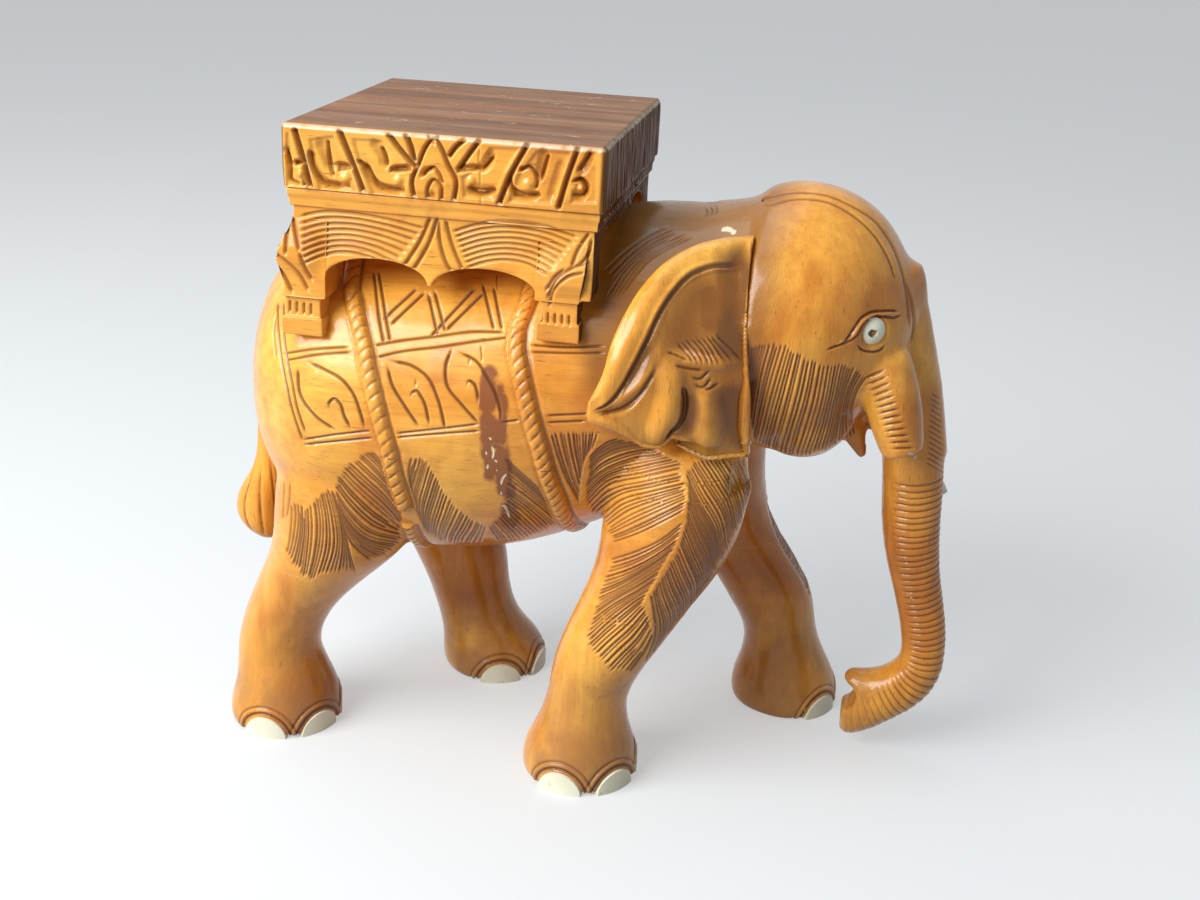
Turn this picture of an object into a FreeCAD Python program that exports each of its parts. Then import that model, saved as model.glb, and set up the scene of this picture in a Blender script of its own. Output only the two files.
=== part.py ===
import FreeCAD, Part
import Sketcher
import os
import re

# Carved elephant stool: a walking elephant glued up from blocks, with a square seat on its back.
# Millimetres. +X runs to the head, +Y to the elephant's left and +Z up. The origin lies on the
# ground under the middle of the whole carving. Every X below is measured from the seat's middle.

SIZES = {
    # seat
    "seat_middle_x": -81.2,
    "seat_height": 455,
    "slab_length": 208,
    "slab_width": 222,
    "slab_thickness": 41,
    "slab_chamfer": 2.5,
    "ledge_height": 7,
    "ledge_inset": 2,
    "frame_inset": 5,
    "saddle_height": 376,
    "apron_drop": 18,
    "apron_thickness": 15,
    "arch_half_width": 34,
    "arch_rise": 14,
    "end_arch_lift": 24,
    "end_arch_depth": 32,
    "pendant_x": -6,
    "seat_foot_size": 28,
    "seat_neck_size": 24,
    "seat_knee_size": 32,
    "seat_foot_block": 12,
    "seat_neck_block": 14,
    "seat_foot_rear_x": -92,
    "seat_foot_front_x": 78.5,
    "seat_foot_y": 97.5,
    "seat_foot_rear_height": 317,
    "seat_foot_front_height": 330,
    # torso
    "torso_rear_x": -157,
    "torso_length": 350,
    "torso_radius": 122,
    "torso_centre_height": 262,
    "neck_rise": 56,
    "throat_height": 231,
    # legs
    "leg_top_height": 225,
    "leg_joint_height": 138,
    "foot_radius": 41,
    "ankle_radius": 29,
    "front_hip_radius": 47,
    "rear_hip_radius": 51,
    "front_right_hip_x": 158,
    "front_right_hip_y": -72,
    "front_right_foot_x": 100,
    "front_right_foot_y": -77,
    "front_left_hip_x": 160,
    "front_left_hip_y": 68,
    "front_left_foot_x": 237,
    "front_left_foot_y": 66,
    "rear_right_hip_x": -75,
    "rear_right_hip_y": -64,
    "rear_right_foot_x": -131,
    "rear_right_foot_y": -61,
    "rear_left_hip_x": -76,
    "rear_left_hip_y": 64,
    "rear_left_foot_x": 1,
    "rear_left_foot_y": 61,
    # toenails
    "nail_radius": 16,
    "nail_depth": 7,
    "nail_proud": 0.8,
    "nail_spacing_angle": 62.5,
    "front_right_nail_angle": 52,
    "front_left_nail_angle": 116,
    "rear_right_nail_angle": 60,
    "rear_left_nail_angle": 84,
    # head and trunk
    "head_radius": 87,
    "head_centre_height": 329,
    "head_reach": 104,
    "trunk_joint_height": 243,
    "trunk_root_radius": 23.5,
    "trunk_joint_x": 312,
    "trunk_radius": 21.5,
    "trunk_knee_x": 337,
    "trunk_curl_height": 88,
    "trunk_tip_x": 283,
    "trunk_tip_height": 39,
    "finger_gap_radius": 10,
    "sheath_radius": 19,
    "sheath_y": 43,
    "sheath_top_x": 283,
    "sheath_top_height": 322,
    "sheath_end_x": 303,
    "sheath_end_height": 257,
    "jaw_length": 39,
    "jaw_width": 60,
    "jaw_depth": 40,
    "jaw_x": 233,
    "jaw_height": 274,
    "lip_root_radius": 13,
    "lip_tip_radius": 3.5,
    "lip_length": 38,
    "lip_x": 262,
    "lip_height": 268,
    "lip_lean_angle": 25,
    "tusk_root_radius": 7,
    "tusk_tip_radius": 3,
    "tusk_length": 70,
    "tusk_lean_angle": 31,
    "tusk_socket_depth": 14,
    "eye_radius": 9.5,
    "eye_depth": 9,
    "eye_crown_radius": 15,
    "eye_x": 275,
    "eye_y": 60,
    "eye_height": 342,
    "eye_yaw_angle": 32,
    "eye_proud": 1.5,
    "pupil_radius": 2.2,
    "pupil_depth": 2.5,
    # ears
    "ear_top_height": 396,
    "ear_height": 136,
    "ear_length": 101,
    "ear_thickness": 19,
    "ear_front_x": 207,
    "ear_front_y": 87,
    "ear_lean": 38,
    "ear_flare_angle": 20,
    "ear_gap": 0.3,
    # tail
    "tail_top_height": 300,
    "tail_length": 184,
    "tail_tuft_radius": 19,
    "tail_x": -162,
    # dowels
    "dowel_clearance": 0.05,
    "inlay_clearance": 0.08,
    "seat_clearance": 0.1,
    "leg_dowel_radius": 8,
    "leg_dowel_length": 60,
    "neck_dowel_radius": 9,
    "neck_dowel_length": 70,
    "neck_dowel_y": 32,
    "trunk_dowel_radius": 6,
    "trunk_dowel_length": 40,
    "ear_dowel_radius": 2,
    "ear_dowel_length": 12,
    "ear_dowel_y": 84,
    "ear_dowel_low": 318,
    "ear_dowel_high": 338,
    "tail_dowel_radius": 2.5,
    "tail_dowel_length": 16,
    "seat_dowel_radius": 4,
    "seat_dowel_length": 26,
    "slab_dowel_radius": 5,
    "slab_dowel_length": 30,
    "slab_dowel_x": 72,
    "slab_dowel_y": 76,
    "dowel_end_gap": 0.5,
    "overrun": 60,
}

# Torso stations from rump to neck: distance along, radius, and rise of the centre, each a share
# of torso_length, torso_radius and neck_rise.
TORSO_SHARES = (
    (0.000, 0.26, 0.08),
    (0.020, 0.48, 0.05),
    (0.054, 0.67, 0.00),
    (0.110, 0.84, -0.05),
    (0.190, 0.965, -0.08),
    (0.320, 1.00, -0.03),
    (0.450, 1.00, 0.00),
    (0.563, 0.985, 0.10),
    (0.677, 0.943, 0.29),
    (0.791, 0.885, 0.54),
    (0.886, 0.795, 0.77),
    (1.000, 0.660, 1.22),
)

# Leg stations from the sole up: height as a share of leg_top_height, how far the leg has swung
# from hip to foot as a share, how far it is tucked in toward the mid-plane as a share, the size
# that the radius follows, and its share of it.
FRONT_RIGHT_LEG_SHARES = (
    (0.000, 1.00, 0.00, "foot_radius", 0.95),
    (0.020, 1.00, 0.00, "foot_radius", 1.00),
    (0.080, 1.00, 0.00, "foot_radius", 0.98),
    (0.165, 0.98, 0.00, "ankle_radius", 1.16),
    (0.270, 0.94, 0.00, "ankle_radius", 1.00),
    (0.370, 0.84, 0.00, "ankle_radius", 1.09),
    (0.490, 0.65, 0.00, "hip_radius", 0.75),
    (0.613, 0.42, 0.00, "hip_radius", 0.81),
    (0.733, 0.21, 0.00, "hip_radius", 0.90),
    (0.889, 0.05, 0.00, "hip_radius", 1.00),
    (1.000, 0.00, 0.02, "hip_radius", 0.98),
    (1.130, 0.00, 0.14, "hip_radius", 0.84),
    (1.250, 0.00, 0.32, "hip_radius", 0.45),
)
FRONT_LEFT_LEG_SHARES = (
    (0.000, 1.00, 0.00, "foot_radius", 0.95),
    (0.020, 1.00, 0.00, "foot_radius", 1.00),
    (0.080, 0.99, 0.00, "foot_radius", 0.98),
    (0.165, 0.97, 0.00, "ankle_radius", 1.16),
    (0.270, 0.90, 0.00, "ankle_radius", 1.00),
    (0.370, 0.79, 0.00, "ankle_radius", 1.12),
    (0.490, 0.60, 0.00, "hip_radius", 0.76),
    (0.613, 0.32, 0.00, "hip_radius", 0.81),
    (0.733, 0.12, 0.00, "hip_radius", 0.88),
    (0.889, 0.00, 0.00, "hip_radius", 0.98),
    (1.000, -0.01, 0.02, "hip_radius", 0.97),
    (1.130, 0.00, 0.15, "hip_radius", 0.83),
    (1.250, 0.02, 0.36, "hip_radius", 0.46),
)
REAR_RIGHT_LEG_SHARES = (
    (0.000, 0.99, 0.00, "foot_radius", 0.95),
    (0.020, 0.99, 0.00, "foot_radius", 1.00),
    (0.080, 0.99, 0.00, "foot_radius", 0.98),
    (0.165, 1.01, 0.00, "ankle_radius", 1.20),
    (0.280, 1.06, 0.00, "ankle_radius", 1.04),
    (0.400, 0.91, 0.00, "ankle_radius", 1.09),
    (0.533, 0.58, 0.00, "hip_radius", 0.74),
    (0.660, 0.22, 0.00, "hip_radius", 0.92),
    (0.800, 0.06, 0.00, "hip_radius", 1.02),
    (0.930, 0.00, 0.02, "hip_radius", 1.02),
    (1.060, 0.00, 0.12, "hip_radius", 0.88),
    (1.180, 0.00, 0.28, "hip_radius", 0.50),
)
REAR_LEFT_LEG_SHARES = (
    (0.000, 1.00, 0.00, "foot_radius", 0.95),
    (0.020, 1.00, 0.00, "foot_radius", 1.00),
    (0.080, 0.98, 0.00, "foot_radius", 0.98),
    (0.165, 0.86, 0.00, "ankle_radius", 1.16),
    (0.280, 0.73, 0.00, "ankle_radius", 1.10),
    (0.460, 0.57, 0.00, "hip_radius", 0.73),
    (0.613, 0.34, 0.00, "hip_radius", 0.79),
    (0.755, 0.13, 0.00, "hip_radius", 0.92),
    (0.889, 0.00, 0.02, "hip_radius", 1.00),
    (1.050, 0.00, 0.12, "hip_radius", 0.88),
    (1.180, 0.00, 0.28, "hip_radius", 0.50),
)
LEGS = {
    "front_right": FRONT_RIGHT_LEG_SHARES,
    "front_left": FRONT_LEFT_LEG_SHARES,
    "rear_right": REAR_RIGHT_LEG_SHARES,
    "rear_left": REAR_LEFT_LEG_SHARES,
}

# Skull stations from the neck joint forward: reach as a share of head_reach, rise as a share of
# head_radius, half height and half width as shares of head_radius, and tilt as a share of a
# quarter turn.
SKULL_SHARES = (
    (0.00, 0.00, 1.00, 1.00, 0.00),
    (0.28, 0.02, 1.06, 1.00, 0.00),
    (0.56, 0.02, 0.97, 0.90, 0.06),
    (0.76, -0.04, 0.77, 0.72, 0.12),
    (0.92, -0.12, 0.53, 0.51, 0.16),
    (1.00, -0.10, 0.32, 0.30, 0.18),
    (1.04, -0.09, 0.12, 0.11, 0.18),
)

# Upper trunk from inside the skull to the trunk joint: distance toward the joint in X and in
# height as shares of the run from the skull, half depth and half width as shares of
# trunk_root_radius, and tilt as a share of a quarter turn.
UPPER_TRUNK_SHARES = (
    (0.00, 0.00, 1.55, 1.50, 0.55),
    (0.48, 0.34, 1.29, 1.21, 0.66),
    (0.80, 0.71, 1.10, 1.02, 0.82),
    (1.00, 1.00, 1.00, 0.96, 1.00),
)
UPPER_TRUNK_START_SHARE = 0.79

# Lower trunk from its joint to the knee of the curl: shares of the run in X and in height,
# radius as a share of trunk_radius, tilt as a share of a quarter turn.
TRUNK_SHARES = (
    (0.00, 0.00, 1.02, 1.00),
    (0.02, 0.06, 1.01, 1.00),
    (0.06, 0.13, 1.00, 0.99),
    (0.13, 0.26, 0.98, 0.97),
    (0.29, 0.46, 0.91, 0.90),
    (0.57, 0.65, 0.81, 0.83),
    (0.89, 0.85, 0.76, 0.88),
    (1.00, 1.00, 0.74, 1.05),
)

# The curl from the knee to the tip: shares of the run in X and in height, half height and half
# width as shares of trunk_radius, tilt as a share of a quarter turn.
CURL_SHARES = (
    (0.02, 0.22, 0.77, 0.76, 1.22),
    (0.13, 0.47, 0.84, 0.80, 1.48),
    (0.48, 0.80, 0.98, 0.82, 1.76),
    (0.82, 0.97, 1.24, 0.74, 1.93),
    (1.00, 1.00, 1.05, 0.52, 2.00),
)
FINGER_GAP_RISE_SHARE = 0.95

# Tusk sheath from the cheek to its open end: share of the run, radius share of sheath_radius.
SHEATH_SHARES = ((0.0, 0.85), (0.34, 1.0), (0.72, 0.92), (1.0, 0.76))
SHEATH_TILT_SHARE = 0.80
SHEATH_INNER_SHARE = 0.88
SHEATH_BEND_SHARE = 0.34

# Ear stations from the top edge down: drop as a share of ear_height, half length as a share of
# ear_length, thickness as a share of ear_thickness, lean inward as a share of ear_lean.
EAR_SHARES = (
    (0.00, 0.14, 0.45, 1.00),
    (0.06, 0.29, 0.85, 0.86),
    (0.16, 0.39, 1.00, 0.62),
    (0.33, 0.46, 1.00, 0.28),
    (0.52, 0.50, 1.00, 0.06),
    (0.72, 0.54, 1.00, 0.00),
    (0.84, 0.55, 1.00, 0.00),
    (0.93, 0.43, 0.90, 0.02),
    (1.00, 0.27, 0.60, 0.06),
)

# Tail from its root down: drop as a share of tail_length, set-back from tail_x and radius as
# shares of tail_tuft_radius.
TAIL_SHARES = (
    (0.00, -0.22, 0.18),
    (0.08, -0.03, 0.38),
    (0.25, 0.05, 0.44),
    (0.50, 0.08, 0.44),
    (0.68, 0.16, 0.60),
    (0.79, 0.42, 0.90),
    (0.87, 0.52, 0.98),
    (0.95, 0.36, 0.80),
    (1.00, 0.20, 0.34),
)

QUARTER_TURN = 90
HALF = 0.5
UP = FreeCAD.Vector(0, 0, 1)
ALONG_X = FreeCAD.Vector(1, 0, 0)
ALONG_Y = FreeCAD.Vector(0, 1, 0)
SIDES = {"right": -1, "left": 1}

doc = FreeCAD.newDocument("elephant_stool")
sheet = doc.addObject("Spreadsheet::Sheet", "sizes")
for row, (alias, value) in enumerate(SIZES.items(), start=1):
    sheet.set(f"A{row}", alias)
    sheet.set(f"B{row}", str(value))
    sheet.setAlias(f"B{row}", alias)
doc.recompute()

ALIAS = re.compile(r"\b(" + "|".join(sorted(SIZES, key=len, reverse=True)) + r")\b")
nodes = []


def sized(text):
    """Point each named size in an expression at its cell."""
    return ALIAS.sub(lambda found: "sizes." + found.group(1), str(text))


def bind(thing, **settings):
    """Bind properties to expressions in the named sizes."""
    for name, text in settings.items():
        thing.setExpression(name, sized(text))
    return thing


def place(thing, x=0, y=0, z=0, axis=UP, angle=None):
    """Place an object by expressions, turned about one axis."""
    thing.Placement = FreeCAD.Placement(FreeCAD.Vector(0, 0, 0), FreeCAD.Rotation(axis, 0))
    for letter, text in (("x", x), ("y", y), ("z", z)):
        thing.setExpression("Placement.Base." + letter, sized(text))
    if angle is not None:
        thing.Placement = FreeCAD.Placement(FreeCAD.Vector(0, 0, 0), FreeCAD.Rotation(axis, 1))
        thing.setExpression("Placement.Rotation.Angle", sized(angle))
    return thing


def seat_x(text):
    """An X measured from the seat's middle, in the part's frame."""
    return f"seat_middle_x + ({text})"


def circle(name, x, y, z, radius, tilt):
    """A circular station, turned about Y by tilt degrees from upright facing X."""
    ring = doc.addObject("Part::Circle", name)
    bind(ring, Radius=radius)
    return place(ring, x, y, z, ALONG_Y, f"{tilt} - {QUARTER_TURN}")


def oval(name, x, y, z, height, width, tilt):
    """An oval station: half height in the plane of the path, half width along Y."""
    ring = doc.addObject("Part::Ellipse", name)
    bind(ring, MajorRadius=height, MinorRadius=f"min({height}; {width})")
    return place(ring, x, y, z, ALONG_Y, f"{tilt} - {QUARTER_TURN}")


def loft(name, stations):
    """A smooth closed solid through its stations."""
    body = doc.addObject("Part::Loft", name)
    body.Sections = stations
    body.Solid = True
    body.Ruled = False
    return body


def box(name, x, y, z, length, width, height):
    """A box by its least corner and its three sides."""
    block = doc.addObject("Part::Box", name)
    bind(block, Length=length, Width=width, Height=height)
    return place(block, x, y, z)


def rod(name, x, y, z, radius, length, axis=UP, angle=None):
    """A cylinder from its first end, along Z before it is turned."""
    pin = doc.addObject("Part::Cylinder", name)
    bind(pin, Radius=radius, Height=length)
    return place(pin, x, y, z, axis, angle)


def rod_along_x(name, x, y, z, radius, length):
    """A cylinder along +X from its first end."""
    return rod(name, x, y, z, radius, length, ALONG_Y, str(QUARTER_TURN))


def joined(name, pieces):
    """Several solids as one."""
    if len(pieces) == 1:
        return pieces[0]
    whole = doc.addObject("Part::MultiFuse", name)
    whole.Shapes = pieces
    return whole


def less(name, base, tools):
    """A solid with others cut from it."""
    piece = doc.addObject("Part::Cut", name)
    piece.Base = base
    piece.Tool = joined(name + "_tools", tools)
    return piece


def shared(name, one, other):
    """What two solids have in common."""
    piece = doc.addObject("Part::Common", name)
    piece.Base = one
    piece.Tool = other
    return piece


def turned(name, piece, x, y, z, axis, angle):
    """A placed solid turned once more about another axis."""
    group = doc.addObject("Part::Compound", name)
    group.Links = [piece]
    return place(group, x, y, z, axis, angle)


def node(thing, label):
    """Name a finished sub-part."""
    thing.Label = label
    nodes.append((label, thing))
    return thing


def pair_of_rods(name, build, gap):
    """A dowel and the hole that takes it: the hole is wider by the clearance and longer at both ends."""
    dowel = build(name, "0", "0")
    hole = build(name + "_hole", "dowel_clearance", gap)
    return dowel, hole


def upright_dowel(name, x, y, middle, radius, length):
    """A dowel along Z about its middle height, with its hole."""
    def build(title, wider, longer):
        return rod(title, x, y, f"{middle} - ({length}) / 2 - {longer}", f"{radius} + {wider}",
                   f"{length} + 2 * {longer}")
    return pair_of_rods(name, build, "dowel_end_gap")


def level_dowel(name, middle_x, y, z, radius, length):
    """A dowel along X about its middle, with its hole."""
    def build(title, wider, longer):
        return rod_along_x(title, f"{middle_x} - ({length}) / 2 - {longer}", y, z,
                           f"{radius} + {wider}", f"{length} + 2 * {longer}")
    return pair_of_rods(name, build, "dowel_end_gap")


def torso_form(name, grow):
    """The barrel of the body from rump to neck, made fatter by a size."""
    stations = []
    for index, (along, girth_share, rise_share) in enumerate(TORSO_SHARES):
        stations.append(circle(
            f"{name}_station_{index}",
            seat_x(f"torso_rear_x + torso_length * {along}"), "0",
            f"torso_centre_height + neck_rise * {rise_share}",
            f"torso_radius * {girth_share} + {grow}", "0"))
    return loft(name, stations)


def leg_form(name, leg, grow):
    """A leg from sole to shoulder or hip, made fatter by a size."""
    hip_radius = leg.split("_")[0] + "_hip_radius"
    stations = []
    for index, (height_share, swing_share, tuck_share, size, girth_share) in enumerate(LEGS[leg]):
        radius = hip_radius if size == "hip_radius" else size
        stations.append(circle(
            f"{name}_station_{index}",
            seat_x(f"{leg}_hip_x + ({leg}_foot_x - {leg}_hip_x) * {swing_share}"),
            f"({leg}_hip_y + ({leg}_foot_y - {leg}_hip_y) * {swing_share}) * (1 - {tuck_share})",
            f"leg_top_height * {height_share}",
            f"{radius} * {girth_share} + {grow}", str(QUARTER_TURN)))
    return loft(name, stations)


def swing_share_at_joint(leg):
    """How far a leg has swung where it meets the torso, between its two nearest stations."""
    joint_share = SIZES["leg_joint_height"] / SIZES["leg_top_height"]
    rows = LEGS[leg]
    for lower, upper in zip(rows, rows[1:]):
        if lower[0] <= joint_share <= upper[0]:
            passed = (joint_share - lower[0]) / (upper[0] - lower[0])
            return lower[1] + (upper[1] - lower[1]) * passed
    return rows[-1][1]


def make_nail(leg, index):
    """One toenail inlay and its pocket, made about the foot's axis and then turned into place."""
    turn = f"{leg}_nail_angle + nail_spacing_angle * {index - 1}"
    pieces = []
    for kind, wider in (("nail", "0"), ("pocket", "inlay_clearance")):
        name = f"{kind}_{leg}_{index + 1}"
        disc = rod(f"{name}_disc", "0", f"nail_depth + {wider} - foot_radius", "0",
                   f"nail_radius + {wider}", "overrun", ALONG_X, str(QUARTER_TURN))
        reach = "foot_radius + nail_proud" if kind == "nail" else "foot_radius + overrun"
        base = "0" if kind == "nail" else "0 - overrun"
        limit = rod(f"{name}_limit", "0", "0", base, reach, f"nail_radius + overrun - ({base})")
        piece = shared(name, disc, limit)
        place(piece, seat_x(f"{leg}_foot_x"), f"{leg}_foot_y", "0", UP, turn)
        pieces.append(piece)
    return pieces


def make_legs():
    """Four legs below the joint plane, their stumps above it, nails and dowels."""
    stumps = []
    torso_holes = []
    dowels = []
    for leg in LEGS:
        form = leg_form(f"leg_{leg}_form", leg, "0")
        span = "foot_radius * 4 + leg_top_height * 2"
        above = box(f"leg_{leg}_above", seat_x(f"{leg}_hip_x - ({span}) / 2"),
                    f"{leg}_hip_y - ({span}) / 2", "leg_joint_height", span, span, "leg_top_height")
        stumps.append(shared(f"stump_{leg}", form, above))
        swing = swing_share_at_joint(leg)
        dowel, hole = upright_dowel(
            f"leg_dowel_{leg}", seat_x(f"{leg}_hip_x + ({leg}_foot_x - {leg}_hip_x) * {swing:.3f}"),
            f"{leg}_hip_y + ({leg}_foot_y - {leg}_hip_y) * {swing:.3f}", "leg_joint_height",
            "leg_dowel_radius", "leg_dowel_length")
        dowels.append(dowel)
        torso_holes.append(hole)
        cuts = [above, hole]
        for index in range(3):
            nail, pocket = make_nail(leg, index)
            node(nail, f"nail_{leg}_{index + 1}")
            cuts.append(pocket)
        node(less(f"leg_{leg}", form, cuts), f"leg_{leg}")
    node(joined("leg_dowels", dowels), "leg_dowels")
    return stumps, torso_holes


def arch_cut(name, middle_x, middle_y, height, start, length, turn):
    """A round-headed opening from its start along Y, before it is turned about Z."""
    ring = doc.addObject("Part::Ellipse", name + "_curve")
    bind(ring, MajorRadius="max(arch_half_width; arch_rise)", MinorRadius="arch_rise")
    place(ring, "0", start, "0", ALONG_X, str(-QUARTER_TURN))
    head = doc.addObject("Part::Extrusion", name + "_head")
    head.Base = ring
    head.DirMode = "Custom"
    head.Dir = ALONG_Y
    head.Solid = True
    bind(head, LengthFwd=length)
    foot = box(name + "_foot", "0 - arch_half_width", start, "0 - overrun * 2",
               "arch_half_width * 2", length, "overrun * 2")
    cutter = joined(name, [head, foot])
    return place(cutter, middle_x, middle_y, height, UP, turn)


def make_seat():
    """The slab, and the arcaded frame that carries it on four feet."""
    frame_top = "seat_height - slab_thickness"
    body = doc.addObject("PartDesign::Body", "seat_slab")
    plane = [item for item in body.Origin.OriginFeatures if item.Role == "XY_Plane"][0]
    sketch = body.newObject("Sketcher::SketchObject", "seat_outline")
    sketch.AttachmentSupport = (plane, [""])
    sketch.MapMode = "FlatFace"
    corners = ((-1, -1), (1, -1), (1, 1), (-1, 1))
    across = SIZES["slab_length"] * HALF
    wide = SIZES["slab_width"] * HALF
    for start, end in zip(corners, corners[1:] + corners[:1]):
        sketch.addGeometry(Part.LineSegment(
            FreeCAD.Vector(start[0] * across, start[1] * wide, 0),
            FreeCAD.Vector(end[0] * across, end[1] * wide, 0)), False)
    for index in range(4):
        sketch.addConstraint(Sketcher.Constraint("Coincident", index, 2, (index + 1) % 4, 1))
    for index in range(4):
        sketch.addConstraint(Sketcher.Constraint("Horizontal" if index % 2 == 0 else "Vertical", index))
    sketch.addConstraint(Sketcher.Constraint("Symmetric", 0, 1, 1, 2, -1, 1))
    sketch.addConstraint(Sketcher.Constraint("DistanceX", 0, 1, 0, 2, across * 2))
    sketch.setExpression(f"Constraints[{sketch.ConstraintCount - 1}]", sized("slab_length"))
    sketch.addConstraint(Sketcher.Constraint("DistanceY", 1, 1, 1, 2, wide * 2))
    sketch.setExpression(f"Constraints[{sketch.ConstraintCount - 1}]", sized("slab_width"))
    pad = body.newObject("PartDesign::Pad", "seat_thickness")
    pad.Profile = sketch
    bind(pad, Length="slab_thickness")
    doc.recompute()
    edges = []
    for index, edge in enumerate(pad.Shape.Edges, start=1):
        if edge.BoundBox.ZMax > SIZES["slab_thickness"] * HALF:
            edges.append(f"Edge{index}")
    bevel = body.newObject("PartDesign::Chamfer", "seat_bevel")
    bevel.Base = (pad, edges)
    bind(bevel, Size="slab_chamfer")
    body.Tip = bevel
    place(body, seat_x("0"), "0", frame_top)

    slab_dowels = []
    slab_holes = []
    for end in (-1, 1):
        for side in (-1, 1):
            dowel, hole = upright_dowel(
                f"slab_dowel_{end + 2}{side + 2}", seat_x(f"{end} * slab_dowel_x"),
                f"{side} * slab_dowel_y", frame_top, "slab_dowel_radius", "slab_dowel_length")
            slab_dowels.append(dowel)
            slab_holes.append(hole)
    node(less("seat_slab_bored", body, slab_holes), "seat_slab")
    node(joined("slab_dowels", slab_dowels), "slab_dowels")

    half_length = "slab_length / 2 - frame_inset"
    half_width = "slab_width / 2 - frame_inset"
    ledge = box("seat_ledge", seat_x("ledge_inset - slab_length / 2"), "ledge_inset - slab_width / 2",
                f"{frame_top} - ledge_height", "slab_length - 2 * ledge_inset",
                "slab_width - 2 * ledge_inset", "ledge_height")
    skirt_bottom = "saddle_height - apron_drop"
    block = box("seat_block", seat_x(f"0 - ({half_length})"), f"0 - ({half_width})", skirt_bottom,
                f"2 * ({half_length})", f"2 * ({half_width})",
                f"{frame_top} - ledge_height - ({skirt_bottom})")
    hollow = box("seat_hollow", seat_x(f"apron_thickness - ({half_length})"),
                 f"apron_thickness - ({half_width})", f"{skirt_bottom} - overrun",
                 f"2 * ({half_length}) - 2 * apron_thickness",
                 f"2 * ({half_width}) - 2 * apron_thickness", "apron_drop + overrun")
    arches = []
    for name, foot_edge in (("rear", "seat_foot_rear_x + seat_foot_size / 2"),
                            ("front", "seat_foot_front_x - seat_foot_size / 2")):
        arches.append(arch_cut(f"side_arch_{name}", seat_x(f"(pendant_x + {foot_edge}) / 2"), "0",
                               skirt_bottom, "0 - slab_width", "slab_width * 2", "0"))
    for end, facing, height in (("front", 1, f"{skirt_bottom} + end_arch_lift"),
                                ("rear", -1, skirt_bottom)):
        for name, side in SIDES.items():
            arches.append(arch_cut(f"end_arch_{end}_{name}", seat_x("0"),
                                   f"{side} * seat_foot_y * {HALF}", height,
                                   f"0 - ({half_length}) - overrun", "overrun + end_arch_depth",
                                   str(facing * QUARTER_TURN)))
    apron = less("seat_apron", block, [hollow] + arches)

    solids = [ledge, apron]
    notches = []
    foot_dowels = []
    foot_holes = []
    for end in ("rear", "front"):
        for name, side in SIDES.items():
            title = f"seat_foot_{end}_{name}"
            x = f"seat_foot_{end}_x"
            y = f"{side} * seat_foot_y"
            low = f"seat_foot_{end}_height"
            tiers = (("block", "seat_foot_size", low, "seat_foot_block"),
                     ("neck", "seat_neck_size", f"{low} + seat_foot_block", "seat_neck_block"),
                     ("knee", "seat_knee_size", f"{low} + seat_foot_block + seat_neck_block",
                      f"saddle_height - {low} - seat_foot_block - seat_neck_block + apron_drop"))
            for tier, size, base, height in tiers:
                solids.append(box(f"{title}_{tier}", seat_x(f"{x} - {size} / 2"),
                                  f"{y} - {size} / 2", base, size, size, height))
            gap = "seat_clearance"
            notches.append(box(f"{title}_notch", seat_x(f"{x} - seat_knee_size / 2 - {gap}"),
                               f"{y} - seat_knee_size / 2 - {gap}", low,
                               f"seat_knee_size + 2 * {gap}", f"seat_knee_size + 2 * {gap}",
                               "overrun * 2"))
            dowel, hole = upright_dowel(f"seat_dowel_{end}_{name}", seat_x(x), y, low,
                                        "seat_dowel_radius", "seat_dowel_length")
            foot_dowels.append(dowel)
            foot_holes.append(hole)
    frame = joined("seat_frame_solid", solids)
    node(less("seat_frame", frame, slab_holes + foot_holes), "seat_frame")
    node(joined("seat_dowels", foot_dowels), "seat_dowels")
    saddle = [box("saddle_cut", seat_x("0 - slab_length / 2 - overrun"), "0 - slab_width",
                  "saddle_height", "slab_length - frame_inset + overrun + seat_clearance",
                  "slab_width * 2", "overrun * 2")]
    for end, start, length in (
            ("front", f"{half_length} - apron_thickness - seat_clearance",
             "apron_thickness + 2 * seat_clearance"),
            ("rear", "0 - slab_length / 2 - overrun",
             "apron_thickness + frame_inset + overrun + seat_clearance")):
        saddle.append(box(f"apron_bed_{end}", seat_x(start), "0 - slab_width",
                          f"{skirt_bottom} - seat_clearance", length, "slab_width * 2",
                          "overrun * 2"))
    return saddle + notches + foot_holes


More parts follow.
